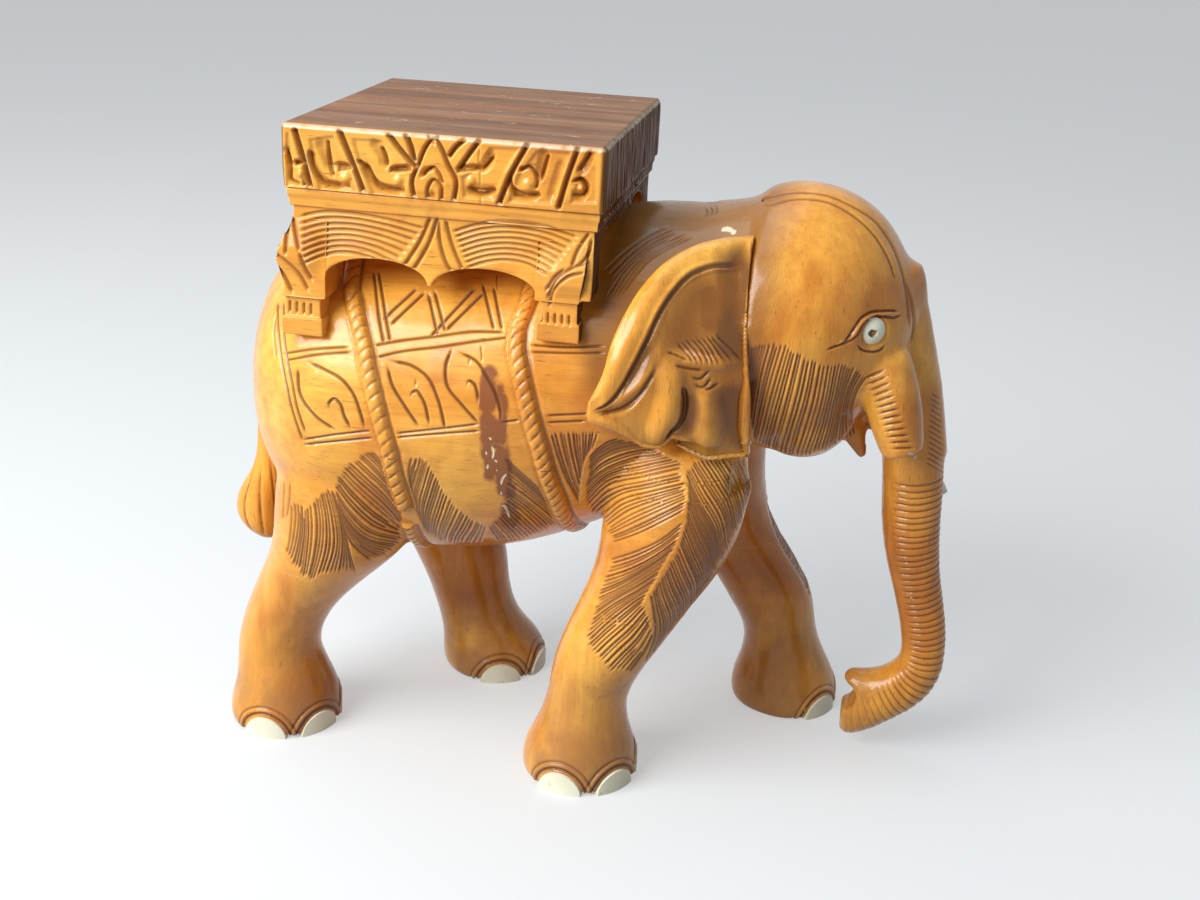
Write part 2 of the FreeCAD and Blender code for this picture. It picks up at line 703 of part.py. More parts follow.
def make_head(neck_holes, ear_holes):
    """Skull, cheeks, upper trunk and tusk sheaths in one block, with the inlaid eyes."""
    joint_x = "torso_rear_x + torso_length"
    skull = []
    for index, (reach, rise, tall, wide, tilt) in enumerate(SKULL_SHARES):
        skull.append(oval(f"skull_station_{index}", seat_x(f"{joint_x} + head_reach * {reach}"), "0",
                          f"head_centre_height + head_radius * {rise}", f"head_radius * {tall}",
                          f"head_radius * {wide}", str(QUARTER_TURN * tilt)))
    start_x = f"({joint_x} + head_reach * {UPPER_TRUNK_START_SHARE})"
    upper = []
    for index, (run, fall, deep, wide, tilt) in enumerate(UPPER_TRUNK_SHARES):
        upper.append(oval(
            f"upper_trunk_station_{index}", seat_x(f"{start_x} + (trunk_joint_x - {start_x}) * {run}"),
            "0", f"head_centre_height + (trunk_joint_height - head_centre_height) * {fall}",
            f"trunk_root_radius * {deep}", f"trunk_root_radius * {wide}", str(QUARTER_TURN * tilt)))
    solids = [loft("skull", skull), loft("upper_trunk", upper)]
    jaw = doc.addObject("Part::Ellipsoid", "jaw")
    bind(jaw, Radius1="jaw_depth", Radius2="jaw_length", Radius3="jaw_width")
    place(jaw, seat_x("jaw_x"), "0", "jaw_height")
    solids.append(jaw)
    lip = doc.addObject("Part::Cone", "lip")
    bind(lip, Radius1="lip_root_radius", Radius2="lip_tip_radius", Height="lip_length")
    solids.append(place(lip, seat_x("lip_x"), "0", "lip_height", ALONG_Y, f"{2 * QUARTER_TURN} - lip_lean_angle"))
    cuts = neck_holes + ear_holes
    for name, side in SIDES.items():
        rings = []
        for index, (run, girth) in enumerate(SHEATH_SHARES):
            inward = SHEATH_INNER_SHARE + (1 - SHEATH_INNER_SHARE) * min(1, run / SHEATH_BEND_SHARE)
            rings.append(circle(
                f"sheath_{name}_station_{index}",
                seat_x(f"sheath_top_x + (sheath_end_x - sheath_top_x) * {run}"),
                f"{side} * sheath_y * {inward:.3f}",
                f"sheath_top_height + (sheath_end_height - sheath_top_height) * {run}",
                f"sheath_radius * {girth}", str(QUARTER_TURN * SHEATH_TILT_SHARE)))
        solids.append(loft(f"sheath_{name}", rings))
        cuts.append(make_eye(name, side))
    tusk, socket = make_tusk()
    node(tusk, "tusk_left")
    dowel, hole = upright_dowel("trunk_dowel", seat_x("trunk_joint_x"), "0", "trunk_joint_height",
                                "trunk_dowel_radius", "trunk_dowel_length")
    node(dowel, "trunk_dowel")
    node(less("head", joined("head_solid", solids), cuts + [socket, hole]), "head")
    make_trunk(hole)


def make_eye(name, side):
    """A domed eye plug with a drilled pupil, and the bore that takes it."""
    turn = f"{side} * ({QUARTER_TURN} - eye_yaw_angle)"
    spot = (seat_x("eye_x"), f"{side} * eye_y", "eye_height", UP, turn)
    plug = rod_along_x(f"eye_{name}_plug", "eye_proud - eye_depth", "0", "0", "eye_radius", "eye_depth")
    crown = doc.addObject("Part::Sphere", f"eye_{name}_crown")
    bind(crown, Radius="eye_crown_radius")
    place(crown, "eye_proud - eye_crown_radius", "0", "0")
    pupil = rod_along_x(f"eye_{name}_pupil", "eye_proud - pupil_depth", "0", "0", "pupil_radius",
                        "overrun")
    eye = less(f"eye_{name}", shared(f"eye_{name}_dome", plug, crown), [pupil])
    node(place(eye, *spot), f"eye_{name}")
    bore = rod_along_x(f"eye_{name}_bore_rod", "eye_proud - eye_depth - inlay_clearance", "0", "0",
                       "eye_radius + inlay_clearance", "eye_depth + overrun")
    return turned(f"eye_{name}_bore", bore, *spot)


def make_tusk():
    """The left tusk, a taper leaning forward out of its sheath, and its socket."""
    spot = (seat_x("sheath_end_x"), "sheath_y", "sheath_end_height", ALONG_Y,
            f"{2 * QUARTER_TURN} - tusk_lean_angle")
    taper = doc.addObject("Part::Cone", "tusk_taper")
    bind(taper, Radius1="tusk_root_radius", Radius2="tusk_tip_radius", Height="tusk_length")
    peg = rod("tusk_peg", "0", "0", "0 - tusk_socket_depth", "tusk_root_radius", "tusk_socket_depth")
    tusk = place(joined("tusk_left", [taper, peg]), *spot)
    socket = rod("tusk_socket_rod", "0", "0", "0 - tusk_socket_depth - inlay_clearance",
                 "tusk_root_radius + inlay_clearance", "tusk_socket_depth + tusk_length")
    return tusk, turned("tusk_socket", socket, *spot)


def make_trunk(hole):
    """The lower trunk, from the joint under the tusks to the curled tip."""
    stations = []
    run_x = "(trunk_knee_x - trunk_joint_x)"
    run_z = "(trunk_curl_height - trunk_joint_height)"
    for index, (run, fall, girth, tilt) in enumerate(TRUNK_SHARES):
        stations.append(oval(
            f"trunk_station_{index}", seat_x(f"trunk_joint_x + {run_x} * {run}"), "0",
            f"trunk_joint_height + {run_z} * {fall}", f"trunk_radius * {girth}",
            f"trunk_radius * {girth}", str(QUARTER_TURN * tilt)))
    run_x = "(trunk_tip_x - trunk_knee_x)"
    run_z = "(trunk_tip_height - trunk_curl_height)"
    for index, (run, fall, tall, wide, tilt) in enumerate(CURL_SHARES):
        stations.append(oval(
            f"curl_station_{index}", seat_x(f"trunk_knee_x + {run_x} * {run}"), "0",
            f"trunk_curl_height + {run_z} * {fall}", f"trunk_radius * {tall}",
            f"trunk_radius * {wide}", str(QUARTER_TURN * tilt)))
    form = loft("trunk_form", stations)
    gap = rod("finger_gap", seat_x("trunk_tip_x"), "0 - trunk_radius * 2",
              f"trunk_tip_height + finger_gap_radius * {FINGER_GAP_RISE_SHARE}", "finger_gap_radius",
              "trunk_radius * 4", ALONG_X, str(-QUARTER_TURN))
    node(less("trunk", form, [gap, hole]), "trunk")


def make_ears():
    """Two ears that butt against the back of the head and lie along the neck."""
    joint_x = "torso_rear_x + torso_length"
    ear_holes = []
    dowels = []
    body_form = torso_form("ear_bed_body", "ear_gap")
    for name, side in SIDES.items():
        stations = []
        for index, (drop, half, thick, lean) in enumerate(EAR_SHARES):
            ring = doc.addObject("Part::Ellipse", f"ear_{name}_station_{index}")
            bind(ring, MajorRadius=f"ear_length * {half}",
                 MinorRadius=f"min(ear_length * {half}; ear_thickness * {thick} / 2)")
            back = f"ear_length * {half}"
            place(ring, seat_x(f"ear_front_x - {back} * cos(ear_flare_angle)"),
                  f"{side} * (ear_front_y + {back} * sin(ear_flare_angle) - ear_lean * {lean})",
                  f"ear_top_height - ear_height * {drop}", UP, f"{-side} * ear_flare_angle")
            stations.append(ring)
        form = loft(f"ear_{name}_form", stations)
        shoulder = leg_form(f"ear_bed_{name}", f"front_{name}", "ear_gap")
        ahead = box(f"ear_{name}_ahead", seat_x(joint_x), "0 - slab_width", "0", "overrun * 3",
                    "slab_width * 2", "seat_height")
        holes = []
        for level in ("low", "high"):
            dowel, hole = level_dowel(f"ear_dowel_{name}_{level}", seat_x(joint_x),
                                      f"{side} * ear_dowel_y", f"ear_dowel_{level}",
                                      "ear_dowel_radius", "ear_dowel_length")
            dowels.append(dowel)
            holes.append(hole)
        ear_holes.extend(holes)
        node(less(f"ear_{name}", form, [body_form, shoulder, ahead] + holes), f"ear_{name}")
    node(joined("ear_dowels", dowels), "ear_dowels")
    return ear_holes


def make_tail():
    """The tail strap and tuft, seated on the flat at the end of the rump."""
    rings = []
    for index, (drop, back, girth) in enumerate(TAIL_SHARES):
        rings.append(circle(f"tail_station_{index}",
                            seat_x(f"tail_x - tail_tuft_radius * {back}"), "0",
                            f"tail_top_height - tail_length * {drop}",
                            f"tail_tuft_radius * {girth}", str(QUARTER_TURN)))
    form = loft("tail_form", rings)
    ahead = box("tail_ahead", seat_x("torso_rear_x"), "0 - slab_width", "torso_centre_height - overrun",
                "overrun * 3", "slab_width * 2", "overrun * 4")
    dowel, hole = level_dowel("tail_dowel", seat_x("torso_rear_x"), "0",
                              "torso_centre_height", "tail_dowel_radius", "tail_dowel_length")
    node(dowel, "tail_dowel")
    node(less("tail", form, [ahead, hole]), "tail")
    return hole


def make_torso(stumps, cuts):
    """The body block with the stumps of its legs, notched and bored for what joins it."""
    barrel = torso_form("torso_form", "0")
    throat = box("throat_cut", seat_x("torso_rear_x + torso_length"), "0 - slab_width",
                 "throat_height", "overrun * 3", "slab_width * 2", "seat_height")
    node(less("torso", joined("torso_solid", [barrel] + stumps), [throat] + cuts), "torso")


def make_neck_dowels():
    """Two dowels between the head block and the body block."""
    dowels = []
    holes = []
    for name, side in SIDES.items():
        dowel, hole = level_dowel(f"neck_dowel_{name}", seat_x("torso_rear_x + torso_length"),
                                  f"{side} * neck_dowel_y", "head_centre_height",
                                  "neck_dowel_radius", "neck_dowel_length")
        dowels.append(dowel)
        holes.append(hole)
    node(joined("neck_dowels", dowels), "neck_dowels")
    return holes


stumps, leg_holes = make_legs()
seat_cuts = make_seat()
neck_holes = make_neck_dowels()
ear_holes = make_ears()
make_head(neck_holes, ear_holes)
tail_hole = make_tail()
make_torso(stumps, leg_holes + seat_cuts + neck_holes + [tail_hole])
doc.recompute()

for thing in doc.Objects:
    if "Invalid" in thing.State or "Error" in thing.State:
        raise RuntimeError(f"{thing.Name} failed: {thing.State}")
for label, thing in nodes:
    if thing.Shape.isNull() or not thing.Shape.isValid() or not thing.Shape.Solids:
        raise RuntimeError(f"{label} is not a valid solid")

os.makedirs("parts", exist_ok=True)
for label, thing in nodes:
    thing.Shape.exportStep(f"parts/{label}.step")
    print(label, len(thing.Shape.Solids), round(thing.Shape.Volume / 1000, 2), "cm3")
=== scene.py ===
import math

import bmesh
import bpy
import numpy as np
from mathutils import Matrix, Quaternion, Vector
from mathutils.bvhtree import BVHTree


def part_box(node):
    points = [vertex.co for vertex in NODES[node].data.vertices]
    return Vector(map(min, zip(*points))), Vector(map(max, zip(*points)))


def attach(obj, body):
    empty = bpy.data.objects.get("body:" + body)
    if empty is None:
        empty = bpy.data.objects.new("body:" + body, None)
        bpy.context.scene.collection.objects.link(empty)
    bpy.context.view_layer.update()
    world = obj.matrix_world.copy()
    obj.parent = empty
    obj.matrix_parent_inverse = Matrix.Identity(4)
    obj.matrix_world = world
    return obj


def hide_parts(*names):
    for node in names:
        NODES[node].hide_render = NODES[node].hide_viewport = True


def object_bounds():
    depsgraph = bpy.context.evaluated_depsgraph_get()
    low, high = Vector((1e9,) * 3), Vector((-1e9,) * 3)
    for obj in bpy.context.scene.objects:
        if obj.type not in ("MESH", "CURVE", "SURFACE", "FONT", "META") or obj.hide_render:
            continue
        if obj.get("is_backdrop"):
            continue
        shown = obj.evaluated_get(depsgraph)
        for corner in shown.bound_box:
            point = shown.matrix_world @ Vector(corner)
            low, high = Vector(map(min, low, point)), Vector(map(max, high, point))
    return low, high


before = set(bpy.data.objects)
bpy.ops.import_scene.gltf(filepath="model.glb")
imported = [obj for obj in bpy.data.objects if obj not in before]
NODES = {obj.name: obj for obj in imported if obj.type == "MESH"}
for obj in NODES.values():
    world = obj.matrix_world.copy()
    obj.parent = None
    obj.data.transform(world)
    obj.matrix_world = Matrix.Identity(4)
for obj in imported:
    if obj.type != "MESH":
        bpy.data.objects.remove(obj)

MM = 0.001
CAD_LOW, CAD_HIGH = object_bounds()

# Camera, solved from the feet and the seat's corners: place in metres, angles in degrees.
CAMERA_PLACE = (0.1865, -1.0345, 0.6226)
CAMERA_YAW = -9.73
CAMERA_PITCH = -21.14
CAMERA_ROLL = 2.92
SENSOR_WIDTH = 36.0
FRAME_WIDTH = 1200
FRAME_HEIGHT = 900
FOCAL_PIXELS = 1550
CLIP_RANGE = (0.05, 20)

# Where blocks meet, in metres in the part's frame.
SEAT_MIDDLE_X = -0.0812
LEG_JOINT_Z = 0.138
NECK_JOINT_X = SEAT_MIDDLE_X + 0.193
THROAT_Z = 0.231
TRUNK_JOINT_Z = 0.243
TRUNK_REAR_X = SEAT_MIDDLE_X + 0.2872
TRUNK_HALF_Y = 0.03
REAR_LEFT_LEG_LIMIT_X = SEAT_MIDDLE_X + 0.1
FRONT_LEG_LIMIT_X = SEAT_MIDDLE_X
TRUNK_TIP_LIMIT_X = SEAT_MIDDLE_X + 0.256


def camera_axes():
    """Right, down and forward of the camera."""
    yaw, pitch = math.radians(CAMERA_YAW), math.radians(CAMERA_PITCH)
    forward = Vector((math.sin(yaw) * math.cos(pitch), math.cos(yaw) * math.cos(pitch), math.sin(pitch)))
    turn = forward.to_track_quat("-Z", "Y") @ Quaternion((0, 0, 1), math.radians(CAMERA_ROLL))
    return turn, np.array([turn @ Vector((1, 0, 0)), turn @ Vector((0, -1, 0)), forward])


CAMERA_TURN, CAMERA_ROWS = camera_axes()


def make_camera():
    data = bpy.data.cameras.new("camera")
    data.sensor_width = SENSOR_WIDTH
    data.lens = FOCAL_PIXELS / FRAME_WIDTH * SENSOR_WIDTH
    camera = bpy.data.objects.new("camera", data)
    bpy.context.scene.collection.objects.link(camera)
    camera.location = CAMERA_PLACE
    camera.rotation_mode = "QUATERNION"
    camera.rotation_quaternion = CAMERA_TURN
    data.clip_start, data.clip_end = CLIP_RANGE
    bpy.context.scene.camera = camera


def seen_at(points):
    """Columns and rows of the photo's frame for points in metres, and their depth."""
    rel = (points - np.array(CAMERA_PLACE)) @ CAMERA_ROWS.T
    depth = rel[:, 2]
    return (FRAME_WIDTH / 2 + FOCAL_PIXELS * rel[:, 0] / depth,
            FRAME_HEIGHT / 2 + FOCAL_PIXELS * rel[:, 1] / depth, depth)


SMOOTH_FACTOR = 0.5


def link(name, mesh):
    thing = bpy.data.objects.new(name, mesh)
    bpy.context.scene.collection.objects.link(thing)
    return thing


def select_only(things):
    for other in bpy.context.selected_objects:
        other.select_set(False)
    for thing in things:
        thing.hide_set(False)
        thing.select_set(True)
    bpy.context.view_layer.objects.active = things[0]


def joined_copy(name, node_names, extra=()):
    """One object holding copies of CAD meshes and of other meshes."""
    copies = [link(name, NODES[node].data.copy()) for node in node_names] + list(extra)
    select_only(copies)
    if len(copies) > 1:
        bpy.ops.object.join()
    whole = bpy.context.view_layer.objects.active
    whole.name = name
    whole.data.materials.clear()
    return whole


def smoothed(thing, rounds, group=""):
    """Evens out a mesh, all of it or by a group's weights."""
    select_only([thing])
    smooth = thing.modifiers.new("smooth", "SMOOTH")
    smooth.iterations = rounds
    smooth.factor = SMOOTH_FACTOR
    smooth.vertex_group = group
    bpy.ops.object.modifier_apply(modifier="smooth")


def remesh(thing, voxel, rounds):
    """Even skin of small quads, then smoothed."""
    select_only([thing])
    thing.data.remesh_voxel_size = voxel
    thing.data.remesh_voxel_adaptivity = 0
    bpy.ops.object.voxel_remesh()
    smoothed(thing, rounds)


def read_vectors(thing, name):
    flat = np.zeros(len(thing.data.vertices) * 3)
    thing.data.vertices.foreach_get(name, flat)
    return flat.reshape(-1, 3)


def read_points(thing):
    return read_vectors(thing, "co")


def read_normals(thing):
    return read_vectors(thing, "normal")


def write_points(thing, points):
    thing.data.vertices.foreach_set("co", points.reshape(-1))
    thing.data.update()


def write_values(thing, name, values):
    """A number at every vertex, for the materials."""
    layer = thing.data.attributes.get(name) or thing.data.attributes.new(name, "FLOAT", "POINT")
    layer.data.foreach_set("value", np.ascontiguousarray(values, dtype=np.float32))


def finer(thing, wanted):
    """Splits every face that has a wanted vertex once more."""
    mesh = bmesh.new()
    mesh.from_mesh(thing.data)
    mesh.verts.ensure_lookup_table()
    chosen = [edge for edge in mesh.edges if wanted[edge.verts[0].index] or wanted[edge.verts[1].index]]
    bmesh.ops.subdivide_edges(mesh, edges=chosen, cuts=1, use_grid_fill=True)
    mesh.to_mesh(thing.data)
    mesh.free()
    thing.data.update()


def smooth_step(low, high, values):
    share = np.clip((values - low) / (high - low), 0, 1)
    return share * share * (3 - 2 * share)


def table_at(table, values, column=1):
    """A column of a table, read between its rows by the first column."""
    rows = np.array(table, float)
    return np.interp(values, rows[:, 0], rows[:, column])


def cubic(knots, values, at):
    """Smooth interpolation through values at knots."""
    slopes = np.gradient(values, knots, axis=0)
    index = np.clip(np.searchsorted(knots, at) - 1, 0, len(knots) - 2)
    span = (knots[index + 1] - knots[index])[:, None]
    t = ((at - knots[index]) / span[:, 0])[:, None]
    return (values[index] * (1 + 2 * t) * (1 - t) ** 2 + slopes[index] * span * t * (1 - t) ** 2
            + values[index + 1] * t * t * (3 - 2 * t) - slopes[index + 1] * span * t * t * (1 - t))


def elephant_mm(points):
    """Millimetres from the middle of the seat."""
    shifted = points.copy()
    shifted[:, 0] -= SEAT_MIDDLE_X
    return shifted / MM


def box_of(node):
    return tuple(np.array(corner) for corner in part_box(node))


# Relief drawn in the photo's frame. A sheet holds four cells to a pixel.
CELLS = 4
STAMP_STEP = 0.5
STEPS_PER_HALF_WIDTH = 9
BROAD_STROKE = 5
MARK_POWER = 1.5
END_SHARE = 0.06
END_WIDTH = 0.55
END_GAIN = 0.45
FAR = 1e9
# Parts of the photo's frame that the sheets cover: left, top, right, bottom.
FRIEZE_AREA = (270, 120, 620, 215)
FRAME_AREA = (262, 200, 612, 350)
TORSO_AREA = (255, 190, 765, 690)
HEAD_AREA = (735, 175, 965, 490)
EAR_AREA = (570, 215, 775, 475)
# Seeds of the hair, the hand-cut surfaces and the gouge marks.
TORSO_HAIR_SEED = 7
NECK_HAIR_SEED = 8
HEAD_HAIR_SEED = 9
EAR_HAIR_SEED = 11
BODY_WAVES_SEED = 3
BODY_GRAIN_SEED = 4
EAR_WAVES_SEED = 5
GOUGE_SEEDS = (21, 22)


def smooth_path(points, step):
    """Evenly spaced points of a smooth line through the given ones."""
    points = np.array(points, float)
    if len(points) == 2:
        span = np.hypot(*(points[1] - points[0]))
        share = np.linspace(0, 1, max(2, int(span / step)))[:, None]
        return points[0] * (1 - share) + points[1] * share
    gaps = np.hypot(*np.diff(points, axis=0).T)
    knots = np.concatenate(([0], np.cumsum(gaps)))
    return cubic(knots, points, np.arange(0, knots[-1], step))


def resampled(path, knots, at):
    return np.column_stack([np.interp(at, knots, path[:, 0]), np.interp(at, knots, path[:, 1])])


def spread(first, last, count):
    """Lines spread evenly from one line to another."""
    first, last = np.array(first, float), np.array(last, float)
    return [first + (last - first) * step / (count - 1) for step in range(count)]


class Sheet:
    """Relief drawn in a part of the photo's frame. Cells hold millimetres: fine cuts, fine rises, and
    broad forms that add up."""

    def __init__(self, left, top, right, bottom):
        self.left, self.top = left, top
        shape = (int((bottom - top) * CELLS) + 1, int((right - left) * CELLS) + 1)
        self.cut = np.zeros(shape)
        self.rise = np.zeros(shape)
        self.form = np.zeros(shape)
        self.stain_and_shade = np.zeros(shape)
        self.filler = np.zeros(shape)

    def stamp(self, layer, path, widths, depths):
        """Leaves a round mark of the given half width at every point of a path."""
        reach = int(math.ceil(float(widths.max()) * CELLS)) + 1
        around = np.arange(-reach, reach + 1)
        across, down = (grid.reshape(1, -1) for grid in np.meshgrid(around, around))
        columns = ((path[:, 0] - self.left) * CELLS)[:, None]
        rows = ((path[:, 1] - self.top) * CELLS)[:, None]
        column = np.floor(columns).astype(int) + across
        row = np.floor(rows).astype(int) + down
        share = ((column - columns) ** 2 + (row - rows) ** 2) / (widths * CELLS)[:, None] ** 2
        high, wide = layer.shape
        inside = (share < 1) & (column >= 0) & (row >= 0) & (column < wide) & (row < high)
        marks = (depths[:, None] * (1 - np.clip(share, 0, 1)) ** MARK_POWER)[inside]
        np.maximum.at(layer, (row[inside], column[inside]), marks)

    def stroke(self, points, half_width, depth, taper, raised=False):
        """One gouge stroke or fillet along a smooth line; both ends run out over the taper."""
        self.draw(self.rise if raised else self.cut, points, half_width, depth, taper)

    def strokes(self, groups):
        """Gouge strokes in groups: lines, half width in pixels, depth in mm, taper in pixels."""
        for lines, half_width, depth, taper in groups:
            for line in lines:
                self.stroke(line, half_width, depth, taper)

    def shape(self, points, half_width, height, taper):
        """A broad ridge, or a valley where the height is below zero, added to the form."""
        layer = np.zeros(self.form.shape)
        self.draw(layer, points, half_width, abs(height), taper)
        self.form += math.copysign(1, height) * layer

    def draw(self, layer, points, half_width, depth, taper):
        step = max(STAMP_STEP, half_width / STEPS_PER_HALF_WIDTH)
        path = smooth_path(points, step)
        length = len(path) * step
        run = np.arange(len(path)) * step
        ends = np.clip(np.minimum(run, length - run) / max(taper, step), END_SHARE, 1)
        widths = half_width * (END_WIDTH + END_GAIN * ends)
        if half_width < BROAD_STROKE:
            self.stamp(layer, path, widths, depth * ends)
            return
        high, wide = layer.shape
        for (column, row), width, mark in zip(path, widths, depth * ends):
            c, r, reach = (column - self.left) * CELLS, (row - self.top) * CELLS, width * CELLS
            c0, c1 = max(0, int(c - reach)), min(wide, int(c + reach) + 2)
            r0, r1 = max(0, int(r - reach)), min(high, int(r + reach) + 2)
            if c0 >= c1 or r0 >= r1:
                continue
            rows, columns = np.ogrid[r0:r1, c0:c1]
            share = np.clip(((columns - c) ** 2 + (rows - r) ** 2) / reach ** 2, 0, 1)
            window = layer[r0:r1, c0:c1]
            np.maximum(window, mark * (1 - share) ** MARK_POWER, out=window)

    def field(self, corners, height, ramp):
        """Lifts or sinks the inside of an outline, with a slope along its border."""
        corners = np.array(corners, float)
        low = np.maximum(np.floor((corners.min(axis=0) - (self.left, self.top)) * CELLS).astype(int), 0)
        high = np.ceil((corners.max(axis=0) - (self.left, self.top)) * CELLS).astype(int) + 1
        high = np.minimum(high, (self.form.shape[1], self.form.shape[0]))
        rows, columns = np.mgrid[low[1]:high[1], low[0]:high[0]]
        x, y = columns / CELLS + self.left, rows / CELLS + self.top
        inside = np.zeros(x.shape, dtype=bool)
        gap = np.full(x.shape, FAR)
        for (ax, ay), (bx, by) in zip(corners, np.roll(corners, -1, axis=0)):
            share = np.clip(((x - ax) * (bx - ax) + (y - ay) * (by - ay))
                            / ((bx - ax) ** 2 + (by - ay) ** 2), 0, 1)
            gap = np.minimum(gap, np.hypot(x - ax - share * (bx - ax), y - ay - share * (by - ay)))
            if ay != by:
                inside ^= ((ay > y) != (by > y)) & (x < ax + (y - ay) * (bx - ax) / (by - ay))
        self.form[low[1]:high[1], low[0]:high[0]] += np.where(inside, height * smooth_step(0, ramp, gap), 0)

    def ledge(self, points, height, depth):
        """A pocket that deepens down to a ledge, which faces up."""
        for column, row in smooth_path(points, 1 / CELLS):
            c = int((column - self.left) * CELLS)
            low = int((row - self.top) * CELLS)
            rows = np.arange(int(low - height * CELLS), low)
            if c < 0 or c >= self.cut.shape[1] or rows[0] < 0 or low >= self.cut.shape[0]:
                continue
            self.cut[rows, c] = np.maximum(self.cut[rows, c],
                                           depth * (rows - rows[0]) / (height * CELLS))

    def forms(self, columns, rows):
        """All that isn't a cut."""
        return self.read(self.rise, columns, rows) + self.read(self.form, columns, rows)

    def read(self, layer, columns, rows):
        """Bilinear reading at places of the photo's frame, zero outside the sheet."""
        c = (columns - self.left) * CELLS
        r = (rows - self.top) * CELLS
        inside = (c > 0) & (r > 0) & (c < layer.shape[1] - 1) & (r < layer.shape[0] - 1)
        value = np.zeros(len(c))
        c, r = c[inside], r[inside]
        c0, r0 = c.astype(int), r.astype(int)
        fc, fr = c - c0, r - r0
        value[inside] = ((layer[r0, c0] * (1 - fc) + layer[r0, c0 + 1] * fc) * (1 - fr)
                         + (layer[r0 + 1, c0] * (1 - fc) + layer[r0 + 1, c0 + 1] * fc) * fr)
        return value


def mirrored(points):
    """The same places on the side that the photo shows."""
    near = points.copy()
    near[:, 1] = -np.abs(near[:, 1])
    return near


def facing(near, normals, points):
    """How squarely the mirrored surface faces the photo's camera."""
    flipped = normals.copy()
    flipped[:, 1] = np.where(points[:, 1] > 0, -normals[:, 1], normals[:, 1])
    to_camera = np.array(CAMERA_PLACE) - near
    to_camera /= np.linalg.norm(to_camera, axis=1)[:, None]
    return (flipped * to_camera).sum(axis=1)


WOBBLE_WAVES = 9
WAVE_SPREAD = (0.6, 1.5)
WAVE_SCALE = 1.4


def hand_wobble(points, size, seed):
    """Soft unevenness of a surface cut by hand, from -1 to 1, with waves of about the given size."""
    dice = np.random.default_rng(seed)
    total = np.zeros(len(points))
    for _ in range(WOBBLE_WAVES):
        way = dice.normal(size=3)
        way *= 2 * math.pi / size * dice.uniform(*WAVE_SPREAD) / np.linalg.norm(way)
        total += np.sin(points @ way + dice.uniform(0, 2 * math.pi))
    return total / WOBBLE_WAVES ** 0.5 / WAVE_SCALE


# Seat. Photo pixels of the border's gouged lines, near side.
FRIEZE_SLOTS = (
    ((294, 129), (303, 160), (312.5, 198)), ((339, 130), (352, 163), (366.5, 201)),
    ((388, 134), (400, 150), (415.5, 168)), ((405.5, 134), (411, 148), (414, 162)),
    ((480.5, 139), (470, 153), (458, 170)), ((465.5, 139), (456, 147), (448, 157.5)),
    ((529, 142), (512, 172), (498, 206)), ((579, 146), (568, 176), (558, 209)))
FRIEZE_FLAME = (
    ((434, 137), (427, 145), (418, 165), (412, 180), (415.5, 204)),
    ((434, 137), (440, 146), (448, 165), (455.5, 180), (453, 205)))
FRIEZE_LINES = (
    ((428, 134), (434, 145)), ((440, 134), (435, 142)),
    ((422, 177), (428, 170), (433, 167.5), (438, 172.5), (443, 185)),
    ((428, 202), (428, 187), (433, 180), (440, 185), (441, 203)),
    ((284, 147), (290, 167), (291, 180), (300, 185)), ((309, 150), (313, 170), (325, 185), (340, 187.5)),
    ((327, 140), (329, 165), (333, 177)), ((357, 160), (368, 170), (378, 187), (403, 191)),
    ((380, 147), (384, 156), (386, 167)), ((467, 187), (480, 195), (493, 192)),
    ((493, 157), (487, 164), (480, 172)), ((508, 180), (513, 190), (524, 196), (538, 196)),
    ((518, 172), (528, 167), (537, 180), (535, 190)), ((548, 155), (544, 168), (540, 182)),
    ((572, 182), (579, 180), (585.5, 187.5), (580.5, 196), (573, 195)),
    ((590, 152), (584, 162), (578, 172)))
FRIEZE_POCKETS = (
    ((294, 166), (305, 164)), ((337, 172), (352, 170)), ((389, 173), (411, 172)),
    ((457, 173), (481, 171)), ((302, 186), (310, 186)), ((326, 188), (350, 189)),
    ((380, 191), (404, 193)), ((470, 191), (495, 193)), ((514, 198), (540, 198)),
    ((572, 197), (584, 197)))
FRIEZE_BALLS = (
    (344, 179, 7), (527, 185, 7.5), (580.5, 189, 4.5), (299, 174, 5), (397, 181, 6), (470, 181, 6))
FRIEZE_SCOOPS = (
    (((286, 144), (288, 158), (289, 168)), 4, -1.2), (((318, 140), (326, 155), (331, 170)), 7, -1.6),
    (((310, 150), (314, 168), (326, 183), (342, 187)), 5, -2.2),
    (((332, 166), (341, 166), (350, 168)), 5, -2.4), (((290, 164), (297, 163), (304, 163)), 4, -2.4),
    (((372, 140), (382, 155), (386, 168)), 7, -1.6),
    (((364, 163), (372, 180), (385, 189), (402, 192)), 5, -2.2),
    (((389, 170), (400, 169), (411, 168)), 5, -2.6), (((457, 169), (469, 168), (481, 168)), 5, -2.6),
    (((492, 150), (487, 165), (480, 172)), 6, -1.6), (((466, 190), (480, 194), (496, 190)), 5, -2.2),
    (((545, 148), (542, 165), (538, 180)), 7, -1.8),
    (((508, 176), (512, 190), (524, 197), (540, 195)), 5, -2.2),
    (((516, 172), (521, 169), (527, 168)), 4, -1.8), (((562, 160), (556, 180), (550, 200)), 6, -1.2),
    (((592, 150), (586, 165), (578, 175)), 6, -1.6),
    (((572, 182), (580, 180), (587, 188), (581, 198), (572, 197)), 4, -2.0),
    (((420, 178), (426, 170), (434, 169)), 4, -2.0), (((432, 190), (432, 197), (433, 204)), 5, -2.2))
